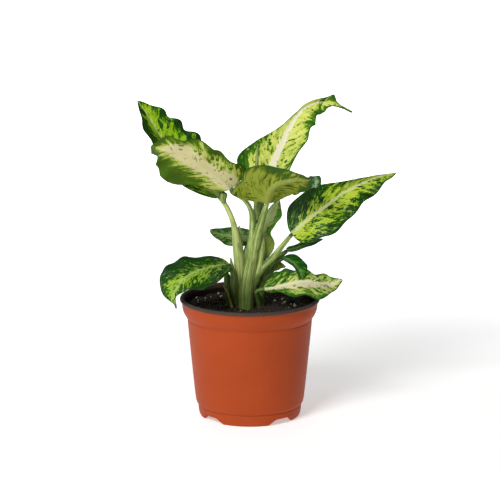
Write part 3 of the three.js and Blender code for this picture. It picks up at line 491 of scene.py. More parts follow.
# The pot: a flat disc in the middle of its base, a raised drain channel round it and a ring of feet. Its
# profiles are radius and height, the outside from the middle of the base up, the inside from the rim down.
# BEAD_ARC is the rolled rim's first and last angle in degrees and its points, and LINING_STEP is how finely
# the profiles are stepped along to tell the lining from the outside.
RIM_RADIUS = 52.5
POT_HEIGHT = 91
BEAD_RADIUS = 1.5
BEAD_LEVEL = POT_HEIGHT - BEAD_RADIUS
WALL = 1
FOOT = 37.1
FLOOR_LEVEL = 4.8
DISC = 22
CHANNEL = (24.5, 33.8)
GROOVE_LEVEL = 9
BODY_FOOT = (41, 12.5)
BODY_TOP = (47, 74.4)
COLLAR = (50.7, 83)
POT_OUTSIDE = [
    (0, 0), (DISC, 0), (CHANNEL[0], FLOOR_LEVEL), (CHANNEL[1], FLOOR_LEVEL), (CHANNEL[1] + 0.4, 0),
    (FOOT, 0), (FOOT + 1, 1.6), (FOOT + 1.5, 4), (FOOT + 1.9, GROOVE_LEVEL - 0.6),
    (FOOT + 1.6, GROOVE_LEVEL), (FOOT + 2.4, GROOVE_LEVEL + 0.4), BODY_FOOT, BODY_TOP,
    (BODY_TOP[0] - 0.5, BODY_TOP[1] + 0.6), (BODY_TOP[0] + 0.2, BODY_TOP[1] + 1.2),
    (COLLAR[0] - 1.1, COLLAR[1] - 3.5), COLLAR, (COLLAR[0] + 0.2, BEAD_LEVEL - BEAD_RADIUS),
]
POT_INSIDE = [
    (COLLAR[0] - WALL, COLLAR[1]), (COLLAR[0] - 1.1 - WALL, COLLAR[1] - 3.2),
    (BODY_TOP[0] - WALL, BODY_TOP[1] + 1.4), (BODY_TOP[0] - 0.2 - WALL, BODY_TOP[1]),
    (BODY_FOOT[0] - WALL, BODY_FOOT[1] + 0.3), (FOOT + 0.7, FLOOR_LEVEL + WALL),
    (CHANNEL[0] - 0.6, FLOOR_LEVEL + WALL), (DISC - 0.6, WALL), (0, WALL),
]
NOTCH_COUNT = 4
NOTCH_ANGLE = -140
NOTCH_HALF_WIDTH = 11.4
NOTCH_HEIGHT = 4.5
NOTCH_ROUNDING = 7
DRAIN_RADIUS = 2.5
DRAIN_PLACE = 30
DRAIN_LEVELS = (-1, 3, 7, 11)
DRAIN_SIDES = 32
DRAIN_STEP = 1.0
CORNER_CUTS = 3
BEAD_ARC = (-40, 180, 15)
LINING_STEP = 0.3

# The soil: its level, its lumps' height, its ripples' pitch and height, how many ways each of them runs and
# how far and how closely it meanders, how far out crumbs and grains lie, the gap that it leaves to the pot,
# its turned body, and the places and sizes of the white grains that the photograph shows.
SOIL_LEVEL = 83
SOIL_BUMP = 0.7
RIPPLES = ((1.1, 0.22), (1.9, 0.16), (3.1, 0.12))
RIPPLE_WAYS = 4
MEANDER = (1.5, 0.37)
SOIL_RADIUS = 46.5
CLEARANCE = 0.3
INSET = WALL + CLEARANCE
SOIL_BODY = [
    (0, INSET), (DISC - 0.9, INSET), (CHANNEL[0] - 0.9, FLOOR_LEVEL + INSET),
    (FOOT + 0.3, FLOOR_LEVEL + INSET), (BODY_FOOT[0] - INSET, BODY_FOOT[1] + 0.5),
    (BODY_TOP[0] - 0.2 - INSET, BODY_TOP[1]), (BODY_TOP[0] - INSET, BODY_TOP[1] + 1.6),
    (COLLAR[0] - 1.1 - INSET, COLLAR[1] - 3), (COLLAR[0] - 0.3 - INSET, SOIL_LEVEL - 1),
]
GRAIN_SPOTS = [
    (-40.3, 23.9, 1.0), (-39.3, 14.1, 1.2), (-24, 40, 0.9), (-21.9, 27.5, 1.3), (-15.2, 44, 0.8),
    (19.1, 17.3, 1.3), (24.8, 20.5, 1.0), (26.6, 11.0, 2.0), (33.6, 1.5, 1.8), (31, 6, 1.1), (-30, 8, 0.8),
    (-34, 20, 0.7),
]

# The crumbs' and the grains' least and largest size, how flat they are, how far up the grains lie, how far
# both are stretched at random, how deep their dents are, and the power that makes small ones the most.
CRUMB_SIZES = (0.35, 1.6)
CRUMB_FLATNESS = 0.8
GRAIN_COUNT = 70
GRAIN_SIZES = (0.3, 0.9)
GRAIN_FLATNESS = 0.9
GRAIN_LIFT = 0.3
LUMP_STRETCH = (0.65, 1.25)
LUMP_DENTS = 0.18
SMALL_POWER = 2.5

# How finely the pieces are divided, the radius of the soil's innermost ring, and the length from which a
# blade has all its columns.
POT_SIDES = 256
SOIL_SIDES = 360
SOIL_RINGS = 110
SOIL_MIDDLE = 0.4
STALK_SIDES = 48
SPEAR_SIDES = 32
LEAST_ROWS = 24
LEAST_COLUMNS = 16
FULL_COLUMNS_LENGTH = 60

# The stage: half the floor's width in millimetres, then in metres what the camera looks at and each light's
# place, what it points at and its width. The focal length in the photograph's pixels gives the lens.
FLOOR_REACH = 9000
TARGET = (0.00015, 0, 0.1267)
LIGHTS = {
    "key": ((-0.85, -1.6, 1.45), TARGET, 1.0),
    "side": ((-1.6, -0.5, 0.5), TARGET, 0.6),
    "back": ((0, 1.8, 1.3), (0, 2.6, 0), 2.4),
}
SENSOR_WIDTH = 36
FOCAL_PIXELS = 2676
PHOTO_PIXELS = 500


# ---------------------------------------------------------------- shapes worked out on grids

def catmull(points, u):
    """Values on a smooth curve through evenly spaced rows, at the shares u of its length.

    Each stretch is the cubic with slopes half the difference of its neighbours, and the row before the
    first and the row after the last carry the end stretches straight on."""
    points = np.asarray(points, float)
    if points.ndim == 1:
        points = points[:, None]
    first = 2 * points[0] - points[1]
    last = 2 * points[-1] - points[-2]
    rows = np.vstack([first, points, last])
    place = np.clip(np.asarray(u, float), 0, 1) * (len(points) - 1)
    step = np.minimum(place.astype(int), len(points) - 2)
    t = (place - step)[..., None]
    p0, p1, p2, p3 = (rows[step + k] for k in range(4))
    m1 = (p2 - p0) / 2
    m2 = (p3 - p1) / 2
    return ((2 * t**3 - 3 * t**2 + 1) * p1 + (t**3 - 2 * t**2 + t) * m1
            + (3 * t**2 - 2 * t**3) * p2 + (t**3 - t**2) * m2)


def straight(values, u):
    """Values on straight stretches between evenly spaced numbers."""
    return np.interp(u, np.linspace(0, 1, len(values)), values)


def unit(vectors):
    """Vectors brought to length one."""
    return vectors / np.maximum(np.linalg.norm(vectors, axis=-1, keepdims=True), 1e-9)


def arc_length(points):
    """Distance along a line of points, from its first."""
    steps = np.linalg.norm(np.diff(points, axis=0), axis=1)
    return np.concatenate([[0], np.cumsum(steps)])


def leaf_half(half, frill, u, t):
    """Half a cross line: how far across and up a point at share t of the half width is, at share u along.

    The half width follows the smooth list, rounded at the base by a quarter circle, and grows and shrinks
    with the wave's cosine. Across and up are its cosine and sine by the fold, plus the wave's own lift."""
    widths, folds, (height, count, phase) = half
    rounding = np.sqrt(1 - (1 - np.minimum(u / BASE_ROUNDING, 1)) ** 2)
    theta = 2 * np.pi * count * u + math.radians(phase)
    calm = np.sin(np.pi * u) ** CALM_POWER
    plain = np.maximum(catmull(widths, u)[..., 0] * rounding, LEAST_HALF_WIDTH)
    width = plain * (1 + frill * calm * t**2 * np.cos(theta))
    fold = np.radians(straight(folds, u))
    across = width * t * np.cos(fold)
    lift = width * t * np.sin(fold) + height * calm * t**2 * np.sin(theta)
    return across, lift, plain


def leaf_grid(leaf, rows, columns):
    """The blade's middle surface, its half widths and its frame, on rows along and columns across.

    A point is the midrib's, plus its distance across times the side, plus its lift times the facing. The
    side is the midrib's direction times the facing, which is first made square to the midrib."""
    u = np.linspace(0, 1, rows + 1)
    v = np.linspace(-1, 1, columns + 1)
    centre = catmull(leaf["midrib"], u)
    after, before = (catmull(leaf["midrib"], u + step) for step in (SHORT_STEP, -SHORT_STEP))
    along = unit(after - before)
    facing = catmull(leaf["facing"], u)
    facing = unit(facing - (facing * along).sum(1, keepdims=True) * along)
    side = np.cross(along, facing)
    uu, vv = np.meshgrid(u, v, indexing="ij")
    frill = leaf.get("frill", FRILL)
    left = leaf_half(leaf["left"], frill, uu, np.abs(vv))
    right = leaf_half(leaf["right"], frill, uu, np.abs(vv))
    across, lift, width = (np.where(vv < 0, a, b) for a, b in zip(left, right))
    points = (centre[:, None] + (np.sign(vv) * across)[..., None] * side[:, None]
              + lift[..., None] * facing[:, None])
    return points, uu, vv, width, arc_length(centre)


def grid_normals(points):
    """The way each grid point faces: the across difference times the along difference, brought to one."""
    along = np.gradient(points, axis=0)
    across = np.gradient(points, axis=1)
    return unit(np.cross(across, along))


def vein_place(uu, vv, width, length):
    """Distances in millimetres that the pattern of a blade follows.

    The first number is the place where a side vein leaves the midrib: the distance along, less the
    distance across and a little of its square, as the veins sweep towards the tip. On the right half it is
    shifted, so that the halves differ. Then come the distance across and the distance along."""
    across = vv * width
    reach = np.abs(across)
    along = length[:, None] + 0 * uu
    root = along - reach - VEIN_SWEEP * reach**2
    return np.stack([root + np.where(vv < 0, 0, HALVES_APART), across, along], -1)


def blade(leaf, rows, columns, thickness, ribs, rib):
    """Closed blade: both faces stand off the middle surface and meet in its edge.

    The half thickness falls to nothing over the last twelfth of the width. The lower face bulges along the
    midrib by a bell curve as wide as its stripe that shrinks to the tip, the upper face has a shallow
    channel there, and both rise and sink a little with the side veins."""
    points, uu, vv, width, length = leaf_grid(leaf, rows, columns)
    normals = grid_normals(points)
    place = vein_place(uu, vv, width, length)
    edge = np.sqrt(np.clip((1 - np.abs(vv)) * EDGE_STEEPNESS, 0, 1))
    ends = np.clip(np.minimum(uu, 1 - uu) * rows / 2, 0, 1)
    half = thickness / 2 * edge * ends
    reach = np.abs(place[..., 1])
    bell_width = RIB_BELL[0] + RIB_BELL[1] * straight(ribs, uu)
    bell = np.exp(-(reach / bell_width) ** 2) * (1 - uu) ** RIB_TAPER * ends
    quilt = VEIN_HEIGHT * np.cos(2 * np.pi * place[..., 0] / VEIN_SPACING)
    quilt = quilt * np.clip(reach / VEIN_START, 0, 1) * edge * ends
    upper = points + normals * (half + quilt - UPPER_CHANNEL * rib * bell)[..., None]
    lower = points - normals * (half - quilt + rib * bell)[..., None]
    return upper, lower, points, place, uu, vv, width


def shares(pair, uu, vv):
    """A share of the half width, from the list for the left half or for the right."""
    return np.where(vv < 0, catmull(pair[0], uu)[..., 0], catmull(pair[1], uu)[..., 0])


def mark_share(marks, place, rows, columns):
    """How much of a mark lies at each point: a bell curve about each mark's middle, longer along its turn.

    The mark's middle is looked up at its shares on the grid, and distances are taken along the midrib and
    outward from it."""
    share = np.zeros(place.shape[:2])
    for u, v, length, width, turn in marks:
        middle = place[round(u * rows), round((v + 1) / 2 * columns)]
        ahead = place[..., 2] - middle[2]
        outward = (place[..., 1] - middle[1]) * (-1 if v < 0 else 1)
        cosine, sine = math.cos(math.radians(turn)), math.sin(math.radians(turn))
        along = (ahead * cosine + outward * sine) / (length / 2)
        across = (outward * cosine - ahead * sine) / (width / 2)
        share = np.maximum(share, np.exp(-along**2 - across**2))
    return share


def blade_mesh(name, node, leaf, rows, columns, thickness, rib):
    """Mesh of a blade. Upper and lower face share the vertices of the edge, so it is closed.

    Its attributes are the place of each point in the veins' pattern; its zone: millimetres beyond the cream
    part, millimetres beyond the start of the dark part, and 0 for the upper and 1 for the lower face; and its
    marks: the shares of dark marks, some of them painted shadow, and rim, of light marks and of the midrib's
    stripe."""
    ribs, height = RIBS.get(node, PLAIN_RIB)
    upper, lower, middle, place, uu, vv, width = blade(leaf, rows, columns, thickness, ribs, rib * height)
    beyond_pale = (np.abs(vv) - shares(leaf["pale"], uu, vv)) * width
    beyond_dark = (np.abs(vv) - shares(leaf["dark"], uu, vv)) * width
    count = (rows + 1) * (columns + 1)
    index = np.arange(count).reshape(rows + 1, columns + 1)
    border = np.zeros_like(index, bool)
    border[0] = border[-1] = border[:, 0] = border[:, -1] = True
    under = np.where(border, index, 0)
    under[~border] = count + np.arange((~border).sum())
    upper[border] = middle[border]
    faces = np.vstack([quads(index), quads(under)[:, ::-1]])
    rim = DARK_RIM_SHARE * np.clip(1.5 - (1 - np.abs(vv)) * width / DARK_RIM, 0, 1)
    # Dark marks are partly the blade's own variegation and partly painted shadow, such as across leaf_top's
    # fold.
    dark = np.maximum(mark_share(DARK_MARKS_AND_SHADOWS.get(node, []), place, rows, columns), rim)
    light = mark_share(LIGHT_MARKS.get(node, []), place, rows, columns)
    stripe = np.clip(0.5 + (straight(ribs, uu) - np.abs(place[..., 1])) / STRIPE_EDGE, 0, 1)
    marks = np.stack([dark, light, stripe], -1)
    zones = (np.stack([beyond_pale, beyond_dark, side + 0 * uu], -1) for side in (0, 1))
    piece = make_piece(name, np.vstack([upper.reshape(-1, 3), lower[~border]]), faces)
    for key, (above, below) in (("place", (place, place)), ("zone", zones), ("marks", (marks, marks))):
        add_vectors(piece, key, np.vstack([above.reshape(-1, 3), below[~border]]))
    return piece


def quads(index):
    """The four corners of each cell of a grid of vertex numbers."""
    return np.stack([index[:-1, :-1], index[:-1, 1:], index[1:, 1:], index[1:, :-1]], -1).reshape(-1, 4)


def tube(rows, sides, step, groove=0.0, ridges=0.0):
    """Rings of a stalk along a smooth line through x, y, z and radius rows.

    The radius grows and shrinks a little with the cosines of 7 and of 13 times the angle, is pressed in along
    one side by a bell curve, and closes at both ends by a quarter circle."""
    rows = np.asarray(rows, float)
    length = arc_length(rows[:, :3])[-1]
    rings = max(8, int(length / step))
    u = np.linspace(0, 1, rings + 1)
    centre = catmull(rows[:, :3], u)
    along = unit(catmull(rows[:, :3], u + LINE_STEP) - catmull(rows[:, :3], u - LINE_STEP))
    side = unit(np.cross([0.0, 1.0, 0.0], along))
    front = np.cross(along, side)
    radius = np.maximum(catmull(rows[:, 3], u)[:, 0], LEAST_RADIUS)
    distance = arc_length(centre)
    closing = np.minimum(distance, distance[-1] - distance) / np.maximum(radius, END_CLOSING[0])
    radius = radius * np.sqrt(1 - (1 - np.clip(closing + END_CLOSING[1], 0, 1)) ** 2)
    angle = np.linspace(0, 2 * np.pi, sides, endpoint=False)
    shape = 1 + ridges * sum(share * np.cos(count * angle + phase) for share, count, phase in RIDGE_WAVES)
    from_groove = np.mod(angle + np.pi / 2, 2 * np.pi) - np.pi
    shape = shape - groove * np.exp(-(from_groove / GROOVE_WIDTH) ** 2)
    ring = np.cos(angle)[None, :, None] * side[:, None] + np.sin(angle)[None, :, None] * front[:, None]
    points = centre[:, None] + ring * (radius[:, None] * shape[None])[..., None]
    flat = (radius[:, None] * np.cos(angle), radius[:, None] * np.sin(angle))
    return points, np.stack(np.broadcast_arrays(*flat, distance[:, None]), -1)


def with_ends(rings):
    """The points of all rings, then the middle of the first ring and of the last."""
    return np.vstack([rings.reshape(-1, 3), rings[0].mean(0), rings[-1].mean(0)])


def tube_faces(rings, sides, start=0):
    """Faces of a closed tube whose rings begin at a vertex number, and whose two end points follow them."""
    index = start + np.arange(rings * sides).reshape(rings, sides)
    index = np.hstack([index, index[:, :1]])
    first = start + rings * sides
    low = np.stack([np.full(sides, first), index[0, 1:], index[0, :-1]], -1).tolist()
    high = np.stack([np.full(sides, first + 1), index[-1, :-1], index[-1, 1:]], -1).tolist()
    return quads(index).tolist() + low + high


def ring_mesh(name, rings):
    """A closed body from rings of points: faces from ring to ring, and a fan over each end."""
    return make_piece(name, with_ends(rings), tube_faces(*rings.shape[:2]))


def shoot_mesh(name, stalks, sides):
    """All stalks of one shoot as one mesh of closed tubes, each sunk in the cane or its neighbour.

    Its zone is the stalk's tone and the millimetres past the start of the dark joint below its leaf."""
    vertices, places, tones, faces = [], [], [], []
    start = 0
    for stalk in stalks:
        rows = list(stalk["rows"])
        if "leaf" in stalk:
            midrib = np.asarray(LEAVES[stalk["leaf"]]["midrib"], float)
            tip = midrib[0] + unit(midrib[1] - midrib[0]) * STALK_IN_BLADE
            rows.append((*tip, STALK_TIP_RADIUS))
        points, place = tube(rows, sides, RING_SPACING, stalk.get("groove", STALK_GROOVE), STALK_RIDGES)
        past_joint = stalk.get("joint", 0) - (place[..., 2].max() - place[..., 2])
        tone = np.full_like(past_joint, stalk["tone"])
        vertices.append(with_ends(points))
        places.append(with_ends(place))
        tones.append(with_ends(np.stack([tone, past_joint, 0 * tone], -1)))
        faces.extend(tube_faces(len(points), sides, start))
        start += len(vertices[-1])
    piece = make_piece(name, np.vstack(vertices), faces)
    add_vectors(piece, "place", np.vstack(places))
    add_vectors(piece, "zone", np.vstack(tones))
    return piece


def rounded(profile, times):
    """A profile with its corners cut: each stretch keeps its points at a fifth and at four fifths."""
    line = np.asarray(profile, float)
    for _ in range(times):
        cut = np.empty((2 * (len(line) - 1), 2))
        cut[0::2] = 0.8 * line[:-1] + 0.2 * line[1:]
        cut[1::2] = 0.2 * line[:-1] + 0.8 * line[1:]
        line = np.vstack([line[:1], cut[1:-1], line[-1:]])
    return line


def notch_turns():
    """The angle about the upright axis of each notch."""
    return [math.radians(NOTCH_ANGLE + place * 360 / NOTCH_COUNT) for place in range(NOTCH_COUNT)]


def notch_level(x, y):
    """Height of the underside of the feet: arches as wide as a notch, flat on top, round at both ends."""
    level = np.zeros_like(x)
    radius = np.hypot(x, y)
    for turn in notch_turns():
        across = np.abs(-x * math.sin(turn) + y * math.cos(turn))
        outward = x * math.cos(turn) + y * math.sin(turn)
        share = np.clip((NOTCH_HALF_WIDTH - across) / NOTCH_ROUNDING, 0, 1)
        arch = NOTCH_HEIGHT * (1 - (1 - share) ** 2)
        level = np.where((outward > 0) & (radius > CHANNEL[0]), np.maximum(level, arch), level)
    return level


def bead_arc():
    """The rolled rim's section: a circle about the bead's centre, from low on the outside to the inside."""
    angles = np.radians(np.linspace(*BEAD_ARC))
    return np.stack([RIM_RADIUS - BEAD_RADIUS + BEAD_RADIUS * np.cos(angles),
                     BEAD_LEVEL + BEAD_RADIUS * np.sin(angles)], -1)


def pot_mesh(name, sides):
    """The pot turned about the upright axis from its outside, its rolled rim and its inside.

    A point is the profile's radius times the cosine and sine of the angle, at the profile's height, but
    round the feet never lower than the notches."""
    bead = bead_arc()
    outside = rounded(np.vstack([POT_OUTSIDE, bead[:1]]), CORNER_CUTS)
    inside = rounded(np.vstack([bead[-1:], POT_INSIDE]), CORNER_CUTS)
    line = np.vstack([outside, bead[1:-1], inside])
    line = line[line[:, 0] > 1e-6]
    angle = np.linspace(0, 2 * np.pi, sides, endpoint=False)
    x = line[:, :1] * np.cos(angle)
    y = line[:, :1] * np.sin(angle)
    z = line[:, 1:] + 0 * x
    feet = np.arange(len(line))[:, None] < len(outside) - 2
    z = np.where(feet, np.maximum(z, np.where(z < NOTCH_HEIGHT + 0.3, notch_level(x, y), 0)), z)
    return ring_mesh(name, np.stack([x, y, z], -1))


def mark_lining(pot):
    """Marks each vertex of the pot 1 where the bead or the inside's profile is nearer than the outside's."""
    place = np.empty(3 * len(pot.data.vertices))
    pot.data.vertices.foreach_get("co", place)
    place = place.reshape(-1, 3) / MM
    spot = np.stack([np.hypot(place[:, 0], place[:, 1]), place[:, 2]], -1)
    nearest = []
    for profile in (np.array(POT_OUTSIDE), np.vstack([bead_arc(), POT_INSIDE])):
        length = arc_length(profile)
        share = np.arange(0, length[-1], LINING_STEP)
        line = np.stack([np.interp(share, length, column) for column in profile.T], -1)
        nearest.append(np.linalg.norm(spot[:, None] - line[None], axis=2).min(1))
    lining = (nearest[1] < nearest[0]).astype(float)
    add_vectors(pot, "zone", np.stack([lining, 0 * lining, 0 * lining], -1))


def soil_height(x, y, seed):
    """Height of the soil's top: its broad lumps, plus finer ripples whose directions are drawn by seed."""
    random = np.random.default_rng(seed)
    total = SOIL_BUMP * (np.sin(0.31 * x + 1.3) * np.cos(0.27 * y) + 0.5 * np.sin(0.55 * y + 0.4 * x))
    for pitch, height in RIPPLES:
        for _ in range(RIPPLE_WAYS):
            turn = random.uniform(0, 2 * np.pi)
            phase = random.uniform(0, 2 * np.pi)
            along = x * math.cos(turn) + y * math.sin(turn)
            bend = MEANDER[0] * np.sin(MEANDER[1] * y + phase)
            total = total + height * np.sin(pitch * along + phase + bend)
    return SOIL_LEVEL + total


def soil_mesh(name, sides, seed):
    """The soil: its side and bottom turned about the upright axis, and a lumpy top on rings of points."""
    body = np.array(SOIL_BODY[1:])
    top_radius = np.linspace(body[-1, 0], SOIL_MIDDLE, SOIL_RINGS)
    radius = np.concatenate([body[:, 0], top_radius[1:]])[:, None]
    angle = np.linspace(0, 2 * np.pi, sides, endpoint=False)
    x = radius * np.cos(angle)
    y = radius * np.sin(angle)
    side = len(body)
    z = np.vstack([body[:, 1:] + 0 * x[:side], soil_height(x[side:], y[side:], seed)])
    return ring_mesh(name, np.stack([x, y, z], -1))


def ball(cuts):
    """Vertices and triangles of a ball of twenty faces whose triangles are cut in four a number of times."""
    gold = (1 + math.sqrt(5)) / 2
    vertices = np.array([
        (-1, gold, 0), (1, gold, 0), (-1, -gold, 0), (1, -gold, 0), (0, -1, gold), (0, 1, gold),
        (0, -1, -gold), (0, 1, -gold), (gold, 0, -1), (gold, 0, 1), (-gold, 0, -1), (-gold, 0, 1)])
    faces = np.array([
        (0, 11, 5), (0, 5, 1), (0, 1, 7), (0, 7, 10), (0, 10, 11), (1, 5, 9), (5, 11, 4), (11, 10, 2),
        (10, 7, 6), (7, 1, 8), (3, 9, 4), (3, 4, 2), (3, 2, 6), (3, 6, 8), (3, 8, 9), (4, 9, 5), (2, 4, 11),
        (6, 2, 10), (8, 6, 7), (9, 8, 1)])
    for _ in range(cuts):
        edges = np.sort(np.vstack([faces[:, [0, 1]], faces[:, [1, 2]], faces[:, [2, 0]]]), 1)
        unique, back = np.unique(edges, axis=0, return_inverse=True)
        middle = len(vertices) + back.reshape(3, -1)
        vertices = np.vstack([vertices, vertices[unique].mean(1)])
        a, b, c = faces.T
        ab, bc, ca = middle
        faces = np.vstack([np.stack(t, -1) for t in ((a, ab, ca), (b, bc, ab), (c, ca, bc), (ab, bc, ca))])
    return unit(vertices), faces


def grains_mesh(name, spots, sizes, flatness, seed):
    """Many small lumps: each a ball, stretched along its own three axes, dented and turned at random.

    A point is the ball's point times three lengths and one plus a sine of its own place. A random
    quaternion turns it: twice the axis times the point, times the cosine, and twice the axis times that
    product are added. Then it is moved to its spot."""
    random = np.random.default_rng(seed)
    shape, triangles = ball(1)
    count = len(spots)
    axes = random.uniform(*LUMP_STRETCH, (count, 1, 3)) * sizes[:, None, None]
    axes[..., 2] *= flatness
    ways = random.normal(0, 1, (count, 3, 1))
    dents = 1 + LUMP_DENTS * np.sin(3 * shape[None] @ ways + random.uniform(0, 6, (count, 1, 1)))
    points = shape[None] * axes * dents
    quaternion = unit(random.normal(0, 1, (count, 1, 4)))
    cosine, axis = quaternion[..., :1], quaternion[..., 1:]
    turned = np.cross(axis, points)
    points = points + 2 * (cosine * turned + np.cross(axis, turned)) + spots[:, None]
    faces = (triangles[None] + len(shape) * np.arange(count)[:, None, None]).reshape(-1, 3)
    return make_piece(name, points.reshape(-1, 3), faces)


def soil_spots(count, least, most, seed):
    """Random places on the soil, even over its area, with a size each that favours the small."""
    random = np.random.default_rng(seed)
    radius = SOIL_RADIUS * np.sqrt(random.uniform(0, 1, count))
    angle = random.uniform(0, 2 * np.pi, count)
    size = least + (most - least) * random.uniform(0, 1, count) ** SMALL_POWER
    return radius * np.cos(angle), radius * np.sin(angle), size


# ---------------------------------------------------------------- meshes and materials

def make_piece(name, vertices, faces):
    """A smooth mesh object at the origin from millimetre vertices and a list of faces."""
    mesh = bpy.data.meshes.new(name)
    mesh.from_pydata((np.asarray(vertices) * MM).tolist(), [], [list(map(int, face)) for face in faces])
    mesh.validate()
    mesh.shade_smooth()
    piece = bpy.data.objects.new(name, mesh)
    bpy.context.scene.collection.objects.link(piece)
    return piece


def add_vectors(piece, name, values):
    """One vector a vertex, kept under a name that materials read."""
    attribute = piece.data.attributes.new(name, "FLOAT_VECTOR", "POINT")
    attribute.data.foreach_set("vector", np.asarray(values, np.float32).ravel())


def dress(piece, material, slot, *nodes):
    """Gives a piece its material and body, and hides the solids that it stands for. The slot is not used."""
    piece.data.materials.clear()
    piece.data.materials.append(material)
    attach(piece, "root")
    if nodes:
        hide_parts(*nodes)
    return piece


class Field:
    """A number that changes over a surface: arithmetic on it adds Math nodes."""

    def __init__(self, finish, socket):
        self.finish = finish
        self.socket = socket

    def math(self, operation, *others):
        return self.finish.node("Math", {"operation": operation}, dict(enumerate((self, *others))))

    def __add__(self, other):
        return self.math("ADD", other)

    def __sub__(self, other):
        return self.math("SUBTRACT", other)

    def __rsub__(self, other):
        return self.finish.node("Math", {"operation": "SUBTRACT"}, {0: other, 1: self})

    def __mul__(self, other):
        return self.math("MULTIPLY", other)

    __radd__ = __add__
    __rmul__ = __mul__

    def step(self, low, high):
        """A soft step from 0 at low to 1 at high."""
        return self.finish.node("MapRange", {"interpolation_type": "SMOOTHSTEP"},
                                {"Value": self, "From Min": low, "From Max": high})


class Finish:
    """A material in the making: its node tree, its shader and the one method that adds nodes."""

    def __init__(self, name, roughness=0.5, **constants):
        self.material = bpy.data.materials.new(name)
        self.material.use_nodes = True
        self.tree = self.material.node_tree
        self.shader = self.tree.nodes["Principled BSDF"]
        self.shader.inputs["Roughness"].default_value = roughness
        for socket, value in constants.items():
            self.shader.inputs[socket.replace("_", " ")].default_value = value

    def node(self, kind, settings, values, output=0):
        """Adds a node: its settings first, then the values or links of its sockets. Gives one output."""
        node = self.tree.nodes.new("ShaderNode" + kind)
        for setting, value in settings.items():
            if setting == "stops":
                self.set_stops(node.color_ramp, value)
            else:
                setattr(node, setting, value)
        for socket, value in values.items():
            self.join(node.inputs[socket], value)
        return Field(self, node.outputs[output])

    def join(self, socket, value):
        if isinstance(value, Field):
            self.tree.links.new(value.socket, socket)
        else:
            socket.default_value = value

    def set_stops(self, ramp, stops):
        while len(ramp.elements) < len(stops):
            ramp.elements.new(0.5)
        for element, (place, colour) in zip(ramp.elements, stops):
            element.position = place
            element.color = (*colour, 1)

    def attribute(self, name):
        return self.node("Attribute", {"attribute_name": name}, {}, "Vector")

    def object_place(self):
        return self.node("TexCoord", {}, {}, "Object")

    def parts(self, vector):
        return [self.node("SeparateXYZ", {}, {0: vector}, axis) for axis in range(3)]

    def noise(self, vector, scale, detail=2.0):
        """Cloudy noise from 0 to 1, its place first multiplied by three numbers."""
        place = self.node("VectorMath", {"operation": "MULTIPLY"}, {0: vector, 1: scale})
        return self.node("TexNoise", {}, {"Vector": place, "Scale": 1.0, "Detail": detail}, "Fac")

    def warp(self, vector, scale, reach):
        """A place shifted by up to half the reach, in a direction that wanders with the place."""
        cloud = self.node("TexNoise", {}, {"Vector": vector, "Scale": scale, "Detail": 2.0}, "Color")
        shift = self.node("VectorMath", {"operation": "SUBTRACT"}, {0: cloud, 1: (0.5, 0.5, 0.5)})
        shift = self.node("VectorMath", {"operation": "SCALE"}, {0: shift, "Scale": reach * 2})
        return self.node("VectorMath", {"operation": "ADD"}, {0: vector, 1: shift})

    def ramp(self, value, stops):
        return self.node("ValToRGB", {"stops": stops}, {"Fac": value}, "Color")

    def mix(self, factor, first, second, blend="MIX"):
        settings = {"data_type": "RGBA", "blend_type": blend, "clamp_factor": True}
        colours = [value if isinstance(value, Field) else (*value, 1) for value in (first, second)]
        return self.node("Mix", settings, {0: factor, 6: colours[0], 7: colours[1]}, 2)

    def bump(self, height, distance, strength):
        values = {"Height": height, "Distance": distance, "Strength": strength}
        self.set("Normal", self.node("Bump", {}, values))

    def set(self, socket, value):
        self.join(self.shader.inputs[socket], value)


def times(share, colour):
    """A colour made lighter or darker."""
    return tuple(share * part for part in colour)


# How a blade's tone from light to deep is mixed: its start, what a millimetre past the start of the dark part
# adds and the least that this adds, and what loose flecks, dark marks with their painted shadow, and light
# marks add or take.
START_TONE = 0.5
TONE_PER_MM = 0.065
LEAST_DEPTH = -0.28
FLECK_TONE = 0.4
DARK_MARK_AND_SHADOW_TONE = 0.45
LIGHT_MARK_TONE = 0.4


